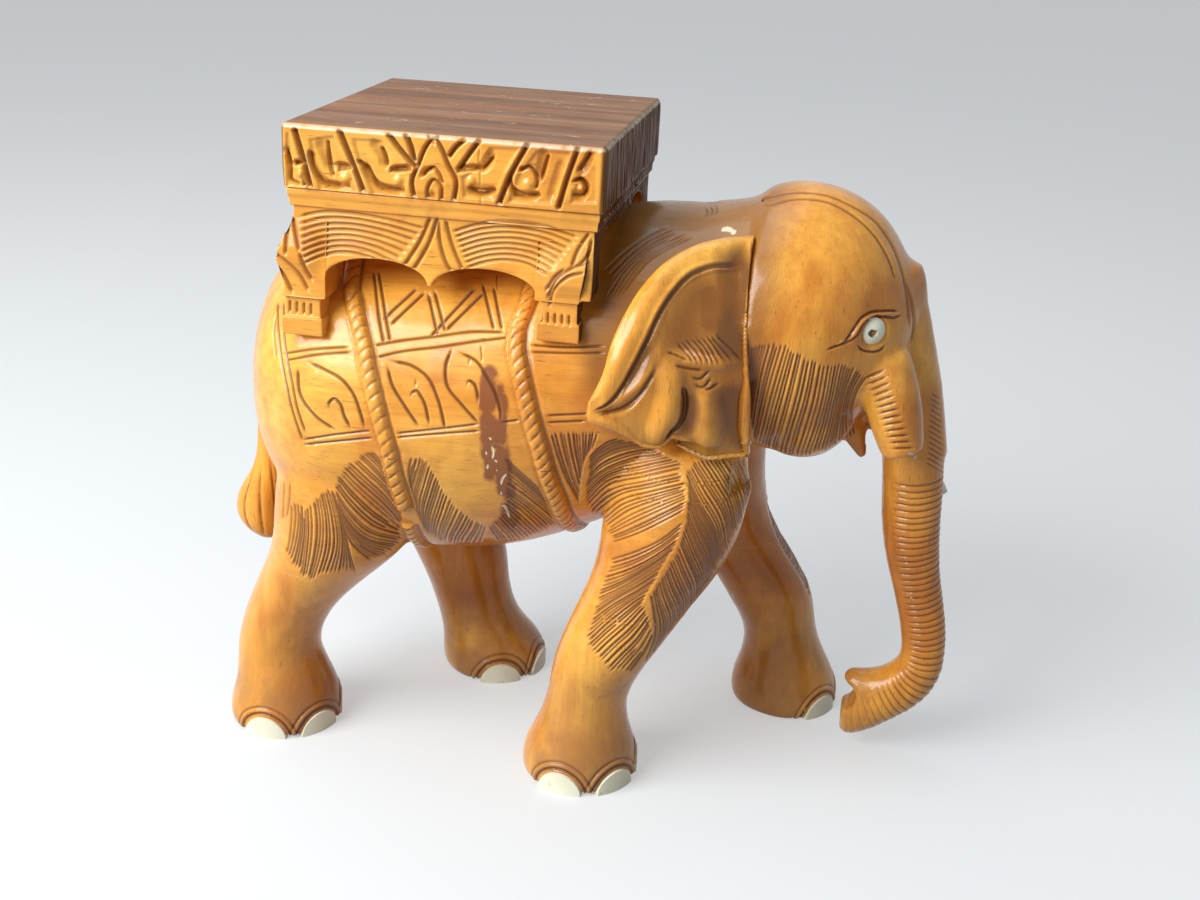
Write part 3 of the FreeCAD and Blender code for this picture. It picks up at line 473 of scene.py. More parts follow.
FRIEZE_DISHES = (
    ((307, 138), (334, 134), (350, 163), (360, 196), (318, 192), (312, 165)),
    ((350, 137), (383, 139), (404, 160), (409, 176), (406, 201), (372, 198), (358, 165)),
    ((489, 146), (522, 147), (505, 175), (494, 202), (462, 199), (460, 177), (476, 165)),
    ((536, 149), (573, 151), (562, 178), (553, 206), (506, 204), (516, 175)),
    ((284, 132), (290, 131), (304, 190), (284, 188)),
    ((588, 149), (600, 150), (598, 205), (568, 205), (577, 175)))
SEAT_CRACK = ((480, 138), (479, 160), (480, 185), (481, 212))
# Groups of strokes: lines, half width in pixels, depth in mm, taper in pixels.
FRIEZE_STROKES = (
    (FRIEZE_SLOTS, 3.6, 4.2, 2), (FRIEZE_FLAME, 3.0, 3.6, 2), (FRIEZE_LINES, 2.6, 2.8, 3),
    ((SEAT_CRACK,), 0.9, 1.2, 3))
DISH_DEPTH = 1.3
DISH_RAMP = 4
SCOOP_GAIN = 1.25
SCOOP_TAPER = 6
POCKET_HEIGHT = 8
POCKET_DEPTH = 3.0
BALL_HEIGHT = 1.6
BALL_TAPER = 0.1
SLAB_VOXEL = 0.0013
FRAME_VOXEL = 0.0013
APRON_TOP_LEFT = ((300, 216), (322, 212), (350, 213), (385, 219), (425, 229))
APRON_LOW_LEFT = ((300, 266), (318, 257), (340, 252), (368, 257), (392, 270))
APRON_TOP_RIGHT = ((452, 232), (480, 224), (510, 222), (545, 227), (578, 238))
APRON_LOW_RIGHT = ((466, 268), (485, 262), (508, 260), (528, 264), (548, 275))
APRON_BANDS = 8
APRON_LEAF_LINES = (
    ((430.5, 217), (420.5, 240), (403, 267.5)), ((438, 217), (428, 245), (412, 272)),
    ((438, 220), (440.5, 245), (450.5, 270), (458, 277)),
    ((445.5, 220), (450.5, 240), (458, 260), (465.5, 275)))
CORNER_LINES = (
    ((292, 211), (280.5, 235), (275.5, 250)), ((292, 215), (295, 230), (299, 252)),
    ((291, 214), (287, 232), (285, 256)), ((273, 252), (286, 262), (300, 276), (309, 292)),
    ((274, 263), (284, 276), (293, 294)), ((299, 252), (303, 264), (313, 282)),
    ((590, 232), (578, 250), (571, 268)), ((592, 238), (588, 255), (577, 268)),
    ((590, 262), (572, 268), (556, 280), (547, 300)), ((586, 272), (566, 278), (553, 292), (549, 308)),
    ((566, 268), (554, 278), (545, 292)))
FLUTES = (spread(((283, 299), (283, 311)), ((311, 303), (311, 315)), 5)
          + spread(((541, 311), (541, 323)), ((569, 315), (569, 327)), 5))
APRON_LINES = (spread(APRON_TOP_LEFT, APRON_LOW_LEFT, APRON_BANDS)
               + spread(APRON_TOP_RIGHT, APRON_LOW_RIGHT, APRON_BANDS))
FRAME_STROKES = (
    (APRON_LINES, 2.3, 1.7, 5), (APRON_LEAF_LINES, 2.8, 2.0, 4), (CORNER_LINES, 2.6, 1.9, 5),
    (FLUTES, 1.8, 1.6, 2))

# Corner legs of the seat, in mm from the seat's middle: height, outer face along X, outer face along Y.
REAR_LEG_ROWS = (
    (343, 103.5, 109.6), (352, 104, 110.2), (360, 107, 112), (368, 109, 113.5), (376, 107.5, 112.5),
    (385, 103, 109), (394, 99.4, 106.3), (402, 99, 106))
FRONT_LEG_ROWS = (
    (356, 91, 110), (362, 92, 112), (368, 93.5, 113.5), (376, 94.5, 112.5), (385, 94.5, 109),
    (394, 94.5, 106.3), (402, 94.5, 106))
# Faces of the plain frame, in mm: inner limit of the change, apron, corner leg.
SIDE_FACES = (90, 106, 113.5)
REAR_FACES = (86, 99, 108)
FRONT_FACES = (78, 94.5, 98.9)
APRON_TOP = 402
APRON_DROP = 44
APRON_FLARE = 5
LEG_INNER_X = (76, 62.5)
LEG_BLEND = (-2, 14)
LEAST_STEP = 0.1
LEDGE_TOP = 414
LEDGE_BASE = 407
LEDGE_STEP = 408
LEDGE_STEP_DEPTH = 1.3
LEDGE_EDGE = 0.6


def moved_faces(value, knots, targets):
    """Shifts places along one direction so that each knot lands on its target."""
    result = value.copy()
    low, low_target = knots[0], np.full(len(value), knots[0], dtype=float)
    for knot, target in zip(knots[1:], targets):
        inside = (value > low) & (value <= knot)
        span = low_target + (value - low) / (knot - low) * (target - low_target)
        result[inside] = span[inside]
        low, low_target = knot, target
    beyond = value > low
    result[beyond] = (value + low_target - low)[beyond]
    return result


def shape_frame(thing):
    """Flared aprons, curved corner legs and a deeper ledge in two steps."""
    x, y, z = elephant_mm(read_points(thing)).T
    rear = x < 0
    along, across = np.abs(x), np.abs(y)
    outer_x, outer_y = (
        np.where(rear, table_at(REAR_LEG_ROWS, z, column), table_at(FRONT_LEG_ROWS, z, column))
        for column in (1, 2))
    apron = SIDE_FACES[1] + APRON_FLARE * np.clip((APRON_TOP - z) / APRON_DROP, 0, 1) ** 2
    leg_low = np.where(rear, REAR_LEG_ROWS[0][0], FRONT_LEG_ROWS[0][0])
    below = (z > leg_low) & (z < LEDGE_BASE - 1)
    inner_edge = np.where(rear, *LEG_INNER_X)
    on_leg = smooth_step(inner_edge + LEG_BLEND[0], inner_edge + LEG_BLEND[1], along)
    outer_y = apron + (outer_y - apron) * on_leg
    new_y = moved_faces(across, SIDE_FACES, (apron, np.maximum(outer_y, apron + LEAST_STEP)))
    new_rear = moved_faces(along, REAR_FACES, (REAR_FACES[1], outer_x))
    new_front = moved_faces(along, FRONT_FACES, (outer_x, FRONT_FACES[2]))
    across = np.where(below, new_y, across)
    along = np.where(below, np.where(rear, new_rear, new_front), along)
    side, end = SIDE_FACES[1] + LEDGE_EDGE, REAR_FACES[1] + LEDGE_EDGE
    ledge = (z > LEDGE_BASE - 2) & ((across > side) | (along > end))
    z = np.where(ledge, LEDGE_TOP - (LEDGE_TOP - z) * (LEDGE_TOP - APRON_TOP) / (LEDGE_TOP - LEDGE_BASE), z)
    step = ledge * (1 - smooth_step(LEDGE_STEP - LEDGE_EDGE, LEDGE_STEP + LEDGE_EDGE, z)) * LEDGE_STEP_DEPTH
    across = np.where(across > side, across - step, across)
    along = np.where(along > end, along - step, along)
    write_points(thing, np.column_stack([np.copysign(along, x) * MM + SEAT_MIDDLE_X,
                                         np.copysign(across, y) * MM, z * MM]))


def frieze_sheet():
    sheet = Sheet(*FRIEZE_AREA)
    sheet.strokes(FRIEZE_STROKES)
    for corners in FRIEZE_DISHES:
        sheet.field(corners, -DISH_DEPTH, DISH_RAMP)
    for line, half_width, height in FRIEZE_SCOOPS:
        sheet.shape(line, half_width, height * SCOOP_GAIN, SCOOP_TAPER)
    for line in FRIEZE_POCKETS:
        sheet.ledge(line, POCKET_HEIGHT, POCKET_DEPTH)
    for column, row, radius in FRIEZE_BALLS:
        sheet.stroke(((column - 0.5, row), (column + 0.5, row)), radius, BALL_HEIGHT, BALL_TAPER, True)
    return sheet


def frame_sheet():
    sheet = Sheet(*FRAME_AREA)
    sheet.strokes(FRAME_STROKES)
    return sheet


# How squarely a face looks sideways or endways before it is carved.
FACE_TURN = (0.55, 0.8)
# Gouge marks of the seat's ends: stretch along their run, size, depth in mm, and how they mix.
END_STRETCH = 0.12
END_GOUGE_SIZE = 0.011
END_GOUGE_DEPTH = 1.1
END_FINE_SHARE = 0.6
END_FINE_SIZE = 0.4
END_GROUND = 0.4
END_SWING = 0.6
END_LIMIT = 1.5
# Worn edges and the flat top of the slab, in metres.
EDGE_REACH = 0.0028
TOP_BAND = 0.004
TOP_TURN = (0.6, 0.9)
# Half sizes along X and Y beyond which faces are made small, and beyond which they are carved.
SLAB_FINE = (0.101, 0.108)
SLAB_CARVED = (0.098, 0.104)
SLAB_ROUNDS = 2
SLAB_HOLLOWS = (4.4, 9)
FRAME_FINE = (0.093, 0.1)
FRAME_CARVED = (0.085, 0.09)
FRAME_ROUNDS = (1, 3)
FRAME_HOLLOW = 2.6


def small_faces(thing, limits):
    points = read_points(thing)
    finer(thing, (np.abs(points[:, 1]) > limits[1]) | (np.abs(points[:, 0] - SEAT_MIDDLE_X) > limits[0]))


def carve_side(thing, sheet, limits):
    """Carves the side faces after a sheet, mirrored to the other side, and roughens the end faces."""
    points, normals = read_points(thing), read_normals(thing)
    columns, rows, _ = seen_at(mirrored(points))
    weight = smooth_step(*FACE_TURN, np.abs(normals[:, 1])) * (np.abs(points[:, 1]) > limits[1])
    cut = sheet.read(sheet.cut, columns, rows) * weight
    relief = sheet.forms(columns, rows) * weight - cut
    at_end = smooth_step(*FACE_TURN, np.abs(normals[:, 0]))
    at_end *= np.abs(points[:, 0] - SEAT_MIDDLE_X) > limits[0]
    drawn_out = points * (1, 1, END_STRETCH)
    gouges = hand_wobble(drawn_out, END_GOUGE_SIZE, GOUGE_SEEDS[0])
    gouges += END_FINE_SHARE * hand_wobble(drawn_out, END_GOUGE_SIZE * END_FINE_SIZE, GOUGE_SEEDS[1])
    relief -= END_GOUGE_DEPTH * np.clip(END_GROUND + END_SWING * gouges, 0, END_LIMIT) * at_end
    write_points(thing, points + normals * (relief * MM)[:, None])
    write_values(thing, "end", at_end)
    return cut, relief


def make_slab():
    whole = joined_copy("seat_slab_carved", ["seat_slab", "slab_dowels"])
    remesh(whole, SLAB_VOXEL, SLAB_ROUNDS)
    small_faces(whole, SLAB_FINE)
    points, normals = read_points(whole), read_normals(whole)
    below = points[:, 2].max() - points[:, 2]
    far_x, far_y = np.abs(points[:, 0] - SEAT_MIDDLE_X), np.abs(points[:, 1])
    border = np.minimum(far_x.max() - far_x, far_y.max() - far_y)
    write_values(whole, "top", smooth_step(*TOP_TURN, normals[:, 2]) * (below < TOP_BAND))
    write_values(whole, "edge", (1 - smooth_step(0, EDGE_REACH, border)) * (below < EDGE_REACH))
    cut, relief = carve_side(whole, frieze_sheet(), SLAB_CARVED)
    # Darker in the cuts, from stain gathered there and painted shade, and painted shade in the broad sunk
    # dishes and scoops.
    write_values(whole, "hollow", np.clip(np.maximum(cut / SLAB_HOLLOWS[0], -relief / SLAB_HOLLOWS[1]), 0, 1))
    return whole


def make_frame():
    whole = joined_copy("seat_frame_carved", ["seat_frame"])
    remesh(whole, FRAME_VOXEL, FRAME_ROUNDS[0])
    shape_frame(whole)
    smoothed(whole, FRAME_ROUNDS[1])
    small_faces(whole, FRAME_FINE)
    cut, _ = carve_side(whole, frame_sheet(), FRAME_CARVED)
    write_values(whole, "hollow", np.clip(cut / FRAME_HOLLOW, 0, 1))
    return whole


# Barrel of the body in mm from the seat's middle: X, radius, height of its centre.
BARREL = (
    (-157, 32, 266.5), (-150, 58.6, 264.8), (-138, 81.7, 262), (-118.5, 102.5, 259.2),
    (-90.5, 117.7, 257.5), (-45, 122, 260.3), (0.5, 122, 262), (40, 120.2, 267.6), (80, 115, 278.2),
    (120, 108, 292.2), (153, 97, 305.1), (193, 80.5, 330.3))
BARREL_RINGS = 60
BARREL_SPOKES = 72


def barrel_mesh():
    """The whole barrel, which fills the seat's notches and saddle."""
    table = np.array(BARREL) * MM
    runs = np.linspace(table[0, 0], table[-1, 0], BARREL_RINGS)
    rings = cubic(table[:, 0], table[:, 1:], runs)
    verts, faces = [], []
    for x, (radius, height) in zip(runs, rings):
        for spoke in range(BARREL_SPOKES):
            angle = 2 * math.pi * spoke / BARREL_SPOKES
            verts.append((x + SEAT_MIDDLE_X, radius * math.cos(angle), height + radius * math.sin(angle)))
    for ring in range(BARREL_RINGS - 1):
        for spoke in range(BARREL_SPOKES):
            after = (spoke + 1) % BARREL_SPOKES
            low, high = ring * BARREL_SPOKES, (ring + 1) * BARREL_SPOKES
            faces.append((low + spoke, low + after, high + after, high + spoke))
    faces.append(tuple(range(BARREL_SPOKES))[::-1])
    faces.append(tuple(range((BARREL_RINGS - 1) * BARREL_SPOKES, BARREL_RINGS * BARREL_SPOKES)))
    mesh = bpy.data.meshes.new("barrel")
    mesh.from_pydata(verts, [], faces)
    return mesh


LEG_NODES = ("leg_front_right", "leg_front_left", "leg_rear_right", "leg_rear_left")
NAIL_NODES = tuple(n for n in NODES if n.startswith("nail_"))
EYE_NODES = ("eye_right", "eye_left")
BODY_NODES = (("torso", "head", "trunk", "leg_dowels", "neck_dowels", "trunk_dowel", "ear_dowels")
              + EYE_NODES + LEG_NODES + NAIL_NODES)
BODY_VOXEL = 0.0024
BODY_ROUNDS = 14
PIECES = ("torso", "head", "trunk") + LEG_NODES

# How far the far legs stand ahead of the near ones, in mm: height, shift along X.
FRONT_LEG_SHIFT = ((61, 126), (83, 111.5), (110, 86), (138, 51), (165, 23.4), (200, 5), (225, 0))
REAR_LEG_SHIFT = ((63, 114.6), (90, 98), (120, 67), (148.5, 32), (180, 9), (209, 0))
# Middle of the far legs, in mm from the seat's middle: height, X.
FRONT_LEG_MIDDLE = ((61, 229), (110, 206), (138, 185), (165, 169), (225, 160))
REAR_LEG_MIDDLE = ((63, -20), (103, -32), (138, -50), (170, -66), (225, -76))
LEG_REACH = (0.045, 0.065)
LEG_SHIFT_TOP = 225
LEAST_RELIEF = 0.02

# Hair, as guide lines in photo pixels, each from root to tip. Strands are spread between them.
THIGH_DOWN = (
    ((289, 503), (288, 530), (284, 556)), ((297, 500), (298, 520), (294, 545), (288, 563)),
    ((306, 506), (307, 530), (305, 555), (302, 578)), ((318, 495), (322, 520), (321, 545), (311, 583)),
    ((326, 487), (333, 515), (336, 545), (327, 577)), ((333, 490), (341, 520), (344, 548), (341, 575)),
    ((337, 503), (345, 530), (350, 550), (358, 574)))
THIGH_FAN = (
    ((337, 508), (343, 528), (353, 547), (370, 562)), ((340, 515), (349, 533), (365, 547), (388, 556)),
    ((336, 498), (346, 517), (365, 537), (404, 545)), ((334, 486), (350, 508), (372, 528), (407, 537)),
    ((338, 474), (356, 493), (377, 512), (405, 533)), ((344, 465), (363, 483), (383, 501), (405, 528)),
    ((353, 459), (371, 475), (388, 492), (404, 520)), ((362, 453), (377, 467), (390, 485), (401, 507)),
    ((371, 449), (382, 461), (391, 474), (397, 490)))
BELLY_LEFT = (
    ((412, 456), (409, 468), (409, 480)), ((420, 456), (415, 476), (411, 492), (414, 508)),
    ((429, 461), (423, 482), (418, 503), (421, 525)), ((438, 477), (431, 499), (426, 518), (427, 537)),
    ((446, 493), (440, 512), (435, 528), (435, 542)), ((458, 506), (451, 521), (446, 533), (444, 544)),
    ((470, 516), (463, 529), (458, 538), (456, 545)), ((479, 521), (475, 531), (470, 539), (467, 545)),
    ((487, 525), (484, 534), (481, 545)))
BELLY_RIGHT = (
    ((487, 526), (492, 535), (498, 544)), ((494, 519), (504, 530), (513, 541)),
    ((503, 511), (518, 525), (530, 538)), ((505, 497), (525, 512), (546, 531)),
    ((505, 484), (528, 500), (547, 515), (561, 526)), ((507, 470), (526, 486), (544, 502), (558, 516)),
    ((504, 456), (519, 470), (534, 483), (545, 495)))
FLANK_FRONT = (
    ((549, 432), (556, 455), (566, 480), (580, 505)), ((562, 431), (567, 455), (573, 478), (581, 497)),
    ((575, 431), (577, 450), (580, 466), (581, 482)), ((588, 431), (587, 445), (584, 462)),
    ((599, 431), (596, 440), (592, 450)))
SHOULDER = (
    ((618, 438), (606, 442), (597, 449), (589, 458)), ((650, 446), (618, 451), (600, 460), (588, 476)),
    ((668, 453), (630, 461), (602, 473), (583, 491)), ((684, 461), (645, 470), (608, 480), (584, 503)),
    ((685, 474), (650, 482), (612, 491), (589, 511)), ((688, 484), (655, 492), (618, 503), (597, 521)),
    ((688, 491), (660, 501), (630, 513), (602, 531)), ((688, 499), (662, 512), (632, 526), (606, 537)),
    ((687, 510), (662, 524), (636, 536), (609, 544)))
SHOULDER_LOW = (
    ((685, 520), (660, 539), (632, 551), (607, 558)), ((680, 540), (655, 558), (628, 572), (602, 580)),
    ((670, 557), (648, 572), (622, 588), (595, 601)), ((660, 575), (640, 588), (612, 603), (587, 621)),
    ((650, 591), (632, 602), (608, 620), (585, 641)), ((643, 603), (625, 620), (605, 637), (588, 653)),
    ((648, 611), (630, 632), (612, 648), (598, 662)), ((652, 621), (638, 642), (620, 660), (608, 673)),
    ((655, 633), (646, 652), (630, 674)))
SHOULDER_FRONT = (
    ((742, 457), (748, 470), (752, 487)), ((724, 457), (735, 475), (744, 497), (747, 520)),
    ((706, 457), (720, 478), (733, 502), (738, 532)), ((692, 459), (708, 485), (724, 512), (731, 546)),
    ((686, 470), (700, 500), (716, 528), (722, 562)), ((688, 495), (700, 522), (712, 548), (715, 576)),
    ((686, 520), (696, 545), (706, 568), (707, 592)), ((681, 540), (690, 562), (698, 582), (698, 605)),
    ((673, 556), (682, 578), (690, 598), (688, 619)), ((664, 571), (671, 590), (680, 612), (675, 636)),
    ((657, 583), (661, 601), (668, 623), (661, 650)), ((650, 595), (653, 612), (655, 633), (643, 665)))
JAW = (
    ((751, 345), (750, 365), (749, 388)), ((765, 340), (757, 370), (752, 400), (750, 428)),
    ((785, 342), (772, 385), (762, 420), (755, 450)), ((800, 352), (790, 395), (780, 430), (770, 458)),
    ((815, 360), (807, 400), (798, 430), (788, 461)), ((832, 362), (825, 400), (817, 430), (805, 460)),
    ((848, 362), (840, 395), (834, 425), (826, 454)), ((860, 368), (848, 395), (844, 420), (841, 444)),
    ((868, 376), (858, 392), (853, 410), (857, 440)))
NECK_HAIR = (
    ((603, 300), (630, 262), (672, 236)), ((622, 296), (650, 262), (700, 236)),
    ((598, 270), (630, 243), (668, 222)))
EAR_HAIR = (
    ((676, 342), (686, 354), (694, 366)), ((690, 338), (702, 352), (708, 368)),
    ((705, 336), (716, 352), (722, 368)), ((720, 332), (732, 348), (740, 362)))
HAIR = (
    (THIGH_DOWN, 4.1), (THIGH_FAN, 4.1), (BELLY_LEFT, 4.1), (BELLY_RIGHT, 4.3), (FLANK_FRONT, 4.6),
    (SHOULDER, 4.4), (SHOULDER_LOW, 4.5), (SHOULDER_FRONT, 4.4))
HEAD_HAIR = ((JAW, 4.3),)
STRAND_STEPS = 24
STRAND_POINTS = 10
STRAND_STRAY = 0.2
STRAND_TRIM = (0.04, 0.06)
LEAST_STRAND = 4
# Gap between strands, in parts of the pitch, at which every other one stops, or every fourth.
CROWDED = (0.55, 0.3)
HAIR_WIDTH = 1.75
HAIR_DEPTH = 1.15
WIDTH_SPREAD = (0.85, 1.15)
DEPTH_SPREAD = (0.8, 1.15)
HAIR_TAPER = 4

# Blanket and its motifs, photo pixels.
BLANKET_LINES = (
    ((281, 354), (315, 349), (350, 347)), ((283, 361), (315, 355), (352, 352)),
    ((372, 346), (400, 341), (440, 336), (470, 332), (505, 332)),
    ((375, 358), (400, 352), (440, 347), (480, 341), (512, 337)), ((530, 345), (565, 347), (605, 346)),
    ((530, 352), (565, 353), (605, 353)), ((302, 440), (345, 434), (372, 431)),
    ((303, 445), (345, 441), (374, 438)), ((395, 434), (440, 429), (480, 424)),
    ((395, 438), (440, 434), (481, 431)), ((500, 423), (522, 420)), ((545, 416), (590, 414)),
    ((545, 423), (587, 421)), ((277, 300), (278, 330), (283, 370), (292, 410), (303, 442)),
    ((283, 300), (284, 335), (290, 375), (299, 415), (306, 434)))
BLANKET_BARS = (
    ((373, 270), (380.5, 325), (384, 344)), ((378, 270), (384, 305), (390.5, 342)),
    ((418, 287), (383, 320)), ((426, 291), (390.5, 325)), ((428, 292), (438, 336)),
    ((434, 289), (445.5, 332)), ((475.5, 287), (430.5, 337)), ((485, 291), (445.5, 331)),
    ((482, 282), (494, 330)), ((493, 285), (502, 330)))
BLANKET_MOTIFS = (
    ((297, 366), (300, 395), (315, 416), (337, 432)),
    ((307, 362), (325, 370), (342, 380), (352, 392), (360, 412), (365, 430)),
    ((331, 411), (329, 403), (334, 399), (340, 404), (344, 416), (352, 431)), ((316, 372), (318, 367)),
    ((387, 365), (392, 385), (405, 407), (420, 429)),
    ((391, 361), (412, 366), (427, 377), (437, 397), (446, 432)),
    ((411, 399), (412, 393), (416, 391), (421, 397), (430, 427)), ((415, 388), (416, 378)),
    ((452, 349), (446, 365), (447, 385), (462, 405), (480, 425)),
    ((459, 352), (477, 362), (487, 377), (495, 392), (502, 420)),
    ((467, 387), (469, 381), (474, 384), (477, 392), (478, 405)), ((470, 355), (469, 365)))
WRINKLES = (
    ((280, 300), (274, 330), (276, 360)), ((290, 480), (289, 500), (286, 520)),
    ((284, 478), (283, 500), (282, 522)), ((703, 205), (707, 212), (704, 220)),
    ((708, 204), (712, 211), (709, 219)), ((713, 203), (717, 210), (714, 218)))

# Old repair on the flank, photo pixels: reddish stain, cracks with cream filler, open cracks.
STAIN_PATCHES = (
    (((490, 365), (488, 400), (489, 440), (490, 480)), 12), (((497, 430), (505, 480), (512, 530)), 13),
    (((500, 380), (503, 410), (500, 440)), 7))
STAIN_CRACKS = (
    ((488, 436), (492, 441)), ((485, 450), (487, 456)), ((491, 445), (493, 452), (492, 460)),
    ((493, 459), (498, 463)), ((488, 463), (487, 470)), ((496, 468), (497, 472)),
    ((507, 473), (502, 479), (501, 486)), ((500, 490), (502, 496)),
    ((500, 505), (504, 506), (507, 512), (510, 520)), ((514, 526), (518, 530)))
NECK_FILLER = ((721, 230), (728, 229), (736, 234))
GLUE_SPOT = ((908, 453), (913, 455), (917, 458))
DARK_CRACKS = (((497, 272), (496.5, 282), (497, 291)), ((481, 345), (482, 362)))
NECK_PITCH = 6.5
# Groups of strokes: lines, half width in pixels, depth in mm, taper in pixels.
TORSO_STROKES = (
    (BLANKET_LINES, 1.9, 1.2, 6), (BLANKET_BARS, 2.2, 1.4, 5), (BLANKET_MOTIFS, 2.2, 1.5, 9),
    (WRINKLES, 1.7, 0.8, 6), (STAIN_CRACKS, 1.3, 0.5, 4), (DARK_CRACKS, 0.9, 1.0, 3))
NECK_STROKE = (1.6, 0.6, 9)
# Half width, strength and taper of marks that only change the colour.
STAIN_MARK = (1.0, 10)
CRACK_FILLER = (1.6, 1.3, 4)
NECK_FILLER_MARK = (3.5, 1.0, 3)
GLUE_MARK = (2.5, 1.0, 2)

# Head, photo pixels.
HEAD_LINES = (
    ((742, 212), (765, 199), (800, 192), (826, 195), (852, 206), (876, 222), (892, 245), (903, 275),
     (908, 305), (909, 330)),
    ((760, 207), (800, 199), (830, 203), (850, 213), (872, 232), (888, 258), (897, 285)),
    ((903, 275), (912, 305), (914, 325), (910, 348)))
EYE_LINES = (
    ((826, 351), (845, 342), (855, 328), (862, 318), (870, 313), (885, 311), (900, 311)),
    ((830, 349), (850, 341), (859, 334), (863, 325), (870, 319), (885, 317), (895, 318), (903, 314)),
    ((857, 343), (861, 349), (869, 352), (879, 351), (886, 345)))
LID_RISE = ((835, 346), (853, 337), (860, 325), (870, 316), (885, 314), (899, 314))
SHEATH_FIRST = ((862, 380), (886, 369))
SHEATH_LAST = ((890, 449), (916, 448))
SHEATH_RINGS = 13
FRONT_RING_FIRST = ((930, 392), (941, 400))
FRONT_RING_LAST = ((925, 462), (946, 474))
FRONT_RINGS = 14
HEAD_STROKES = (
    (HEAD_LINES, 2.0, 1.0, 12), (EYE_LINES, 1.9, 1.5, 6),
    (spread(SHEATH_FIRST, SHEATH_LAST, SHEATH_RINGS), 2.0, 1.1, 7),
    (spread(FRONT_RING_FIRST, FRONT_RING_LAST, FRONT_RINGS), 1.8, 0.9, 4))
LID_STROKE = (2.6, 1.0, 8)

# Girth ropes: X from the seat's middle in mm at angles above the side, and the rope's own sizes.
REAR_ROPE = (
    (-90, -26), (-57, -26), (-26, -24), (-6.4, -30), (9.6, -40), (25, -50), (41, -64), (45, -68),
    (70, -76))
FRONT_ROPE = (
    (-90, 84), (-55.5, 82.3), (-33, 79.4), (-9.3, 70.4), (8.7, 60.3), (25, 50.7), (31.6, 49.6),
    (41, 53.4), (44, 53.6), (70, 56))
ROPE_HALF_WIDTH = 4.7
ROPE_RISE = 3.2
ROPE_PITCH = 7.8
ROPE_SKEW = 0.8
ROPE_CUT = 1.7
ROPE_GUTTER = 3.6
ROPE_GUTTER_DEPTH = 1.1
REAR_GUTTER = 1.6
REAR_GUTTER_SHARE = 0.5
GROOVE_POWER = 3.2
GROOVE_HOLLOW = 0.9
GUTTER_HOLLOW = 0.8
SLOPE_PROBE = 4
BARREL_RADIUS = 120

# Trunk's middle line in mm from the seat's middle: X, height. Rings lie across it.
TRUNK_LINE = (
    (313, 300), (312, 243), (313.5, 222.9), (315.3, 202.7), (319.3, 171.7), (326.3, 142.3),
    (334.3, 111.3), (337, 88), (335.9, 77.2), (330, 65), (311, 48.8), (292.7, 40.5), (283, 39))
TRUNK_PITCH = 4.9
TRUNK_DEPTH = 1.15
TRUNK_PLAIN = 228
# Rings fade towards the tip: distance along the trunk, share of the depth.
RING_FADE = ((250, 1), (285, 0.35))
# Unevenness of the rings: height, waves along the trunk, waves across it.
RING_WAVES = ((0.35, 0.37, 0), (0.25, 0.83, 0.09))
RING_LEAN = 0.10
RING_POWER = 1.6
RING_TURN = (-0.8, -0.35)
PATH_STEP = 0.5

# Step across the root of the trunk: height, how far it stands out, in mm.
BRIDGE = ((308, 0), (330, 1.6), (350, 4), (364, 6), (371, 6.6), (377, 1), (381, 0))
BRIDGE_HALF = 15
BRIDGE_REAR = 250

# Arches round a toenail, in mm: radius, half width, height.
NAIL_ARCS = ((19.4, 1.5, -1.3), (17.6, 1.4, 0.5), (21.6, 1.6, 0.5), (23.8, 1.3, -0.7))
ARC_REACH = 40
ARC_TOP = 30
INLAY_SINK = 1.2
INLAY_GAP = 0.0022
INLAY_SEARCH = 0.003


def strands(guides, pitch, dice):
    """Hair lines spread between neighbouring guides, each a little off its place. Where they would
    crowd, every other one stops."""
    lines = []
    share = np.linspace(0, 1, STRAND_STEPS)
    bent = []
    for guide in guides:
        path = smooth_path(guide, 1.0)
        bent.append(resampled(path, np.linspace(0, 1, len(path)), share))
    for one, other in zip(bent, bent[1:]):
        gap = np.hypot(*(one - other).T)
        count = max(1, int(round(float(gap.max()) / pitch)))
        for index in range(count):
            mix = (index + 0.5 + dice.uniform(-STRAND_STRAY, STRAND_STRAY)) / count
            line = one * (1 - mix) + other * mix
            crowd = CROWDED[0] if index % 2 else (CROWDED[1] if index % 4 else 0.0)
            room = np.nonzero(gap / count > crowd * pitch)[0]
            if len(room) < LEAST_STRAND:
                continue
            first = share[room[0]] + dice.uniform(0, STRAND_TRIM[0])
            last = share[room[-1]] - dice.uniform(0, STRAND_TRIM[1])
            lines.append(resampled(line, share, np.linspace(first, last, STRAND_POINTS)))
    return lines


def draw_hair(sheet, families, seed):
    dice = np.random.default_rng(seed)
    for guides, pitch in families:
        for line in strands(guides, pitch, dice):
            half_width = HAIR_WIDTH * dice.uniform(*WIDTH_SPREAD)
            sheet.stroke(line, half_width, HAIR_DEPTH * dice.uniform(*DEPTH_SPREAD), HAIR_TAPER)


def torso_sheet():
    sheet = Sheet(*TORSO_AREA)
    draw_hair(sheet, HAIR, TORSO_HAIR_SEED)
    neck_hair = strands(NECK_HAIR, NECK_PITCH, np.random.default_rng(NECK_HAIR_SEED))
    sheet.strokes(((neck_hair, *NECK_STROKE), *TORSO_STROKES))
    for line, half_width in STAIN_PATCHES:
        sheet.draw(sheet.stain_and_shade, line, half_width, *STAIN_MARK)
    for line in STAIN_CRACKS:
        sheet.draw(sheet.filler, line, *CRACK_FILLER)
    sheet.draw(sheet.filler, NECK_FILLER, *NECK_FILLER_MARK)
    return sheet


def head_sheet():
    sheet = Sheet(*HEAD_AREA)
    draw_hair(sheet, HEAD_HAIR, HEAD_HAIR_SEED)
    sheet.strokes(HEAD_STROKES)
    sheet.stroke(LID_RISE, *LID_STROKE, True)
    sheet.draw(sheet.filler, GLUE_SPOT, *GLUE_MARK)
    return sheet


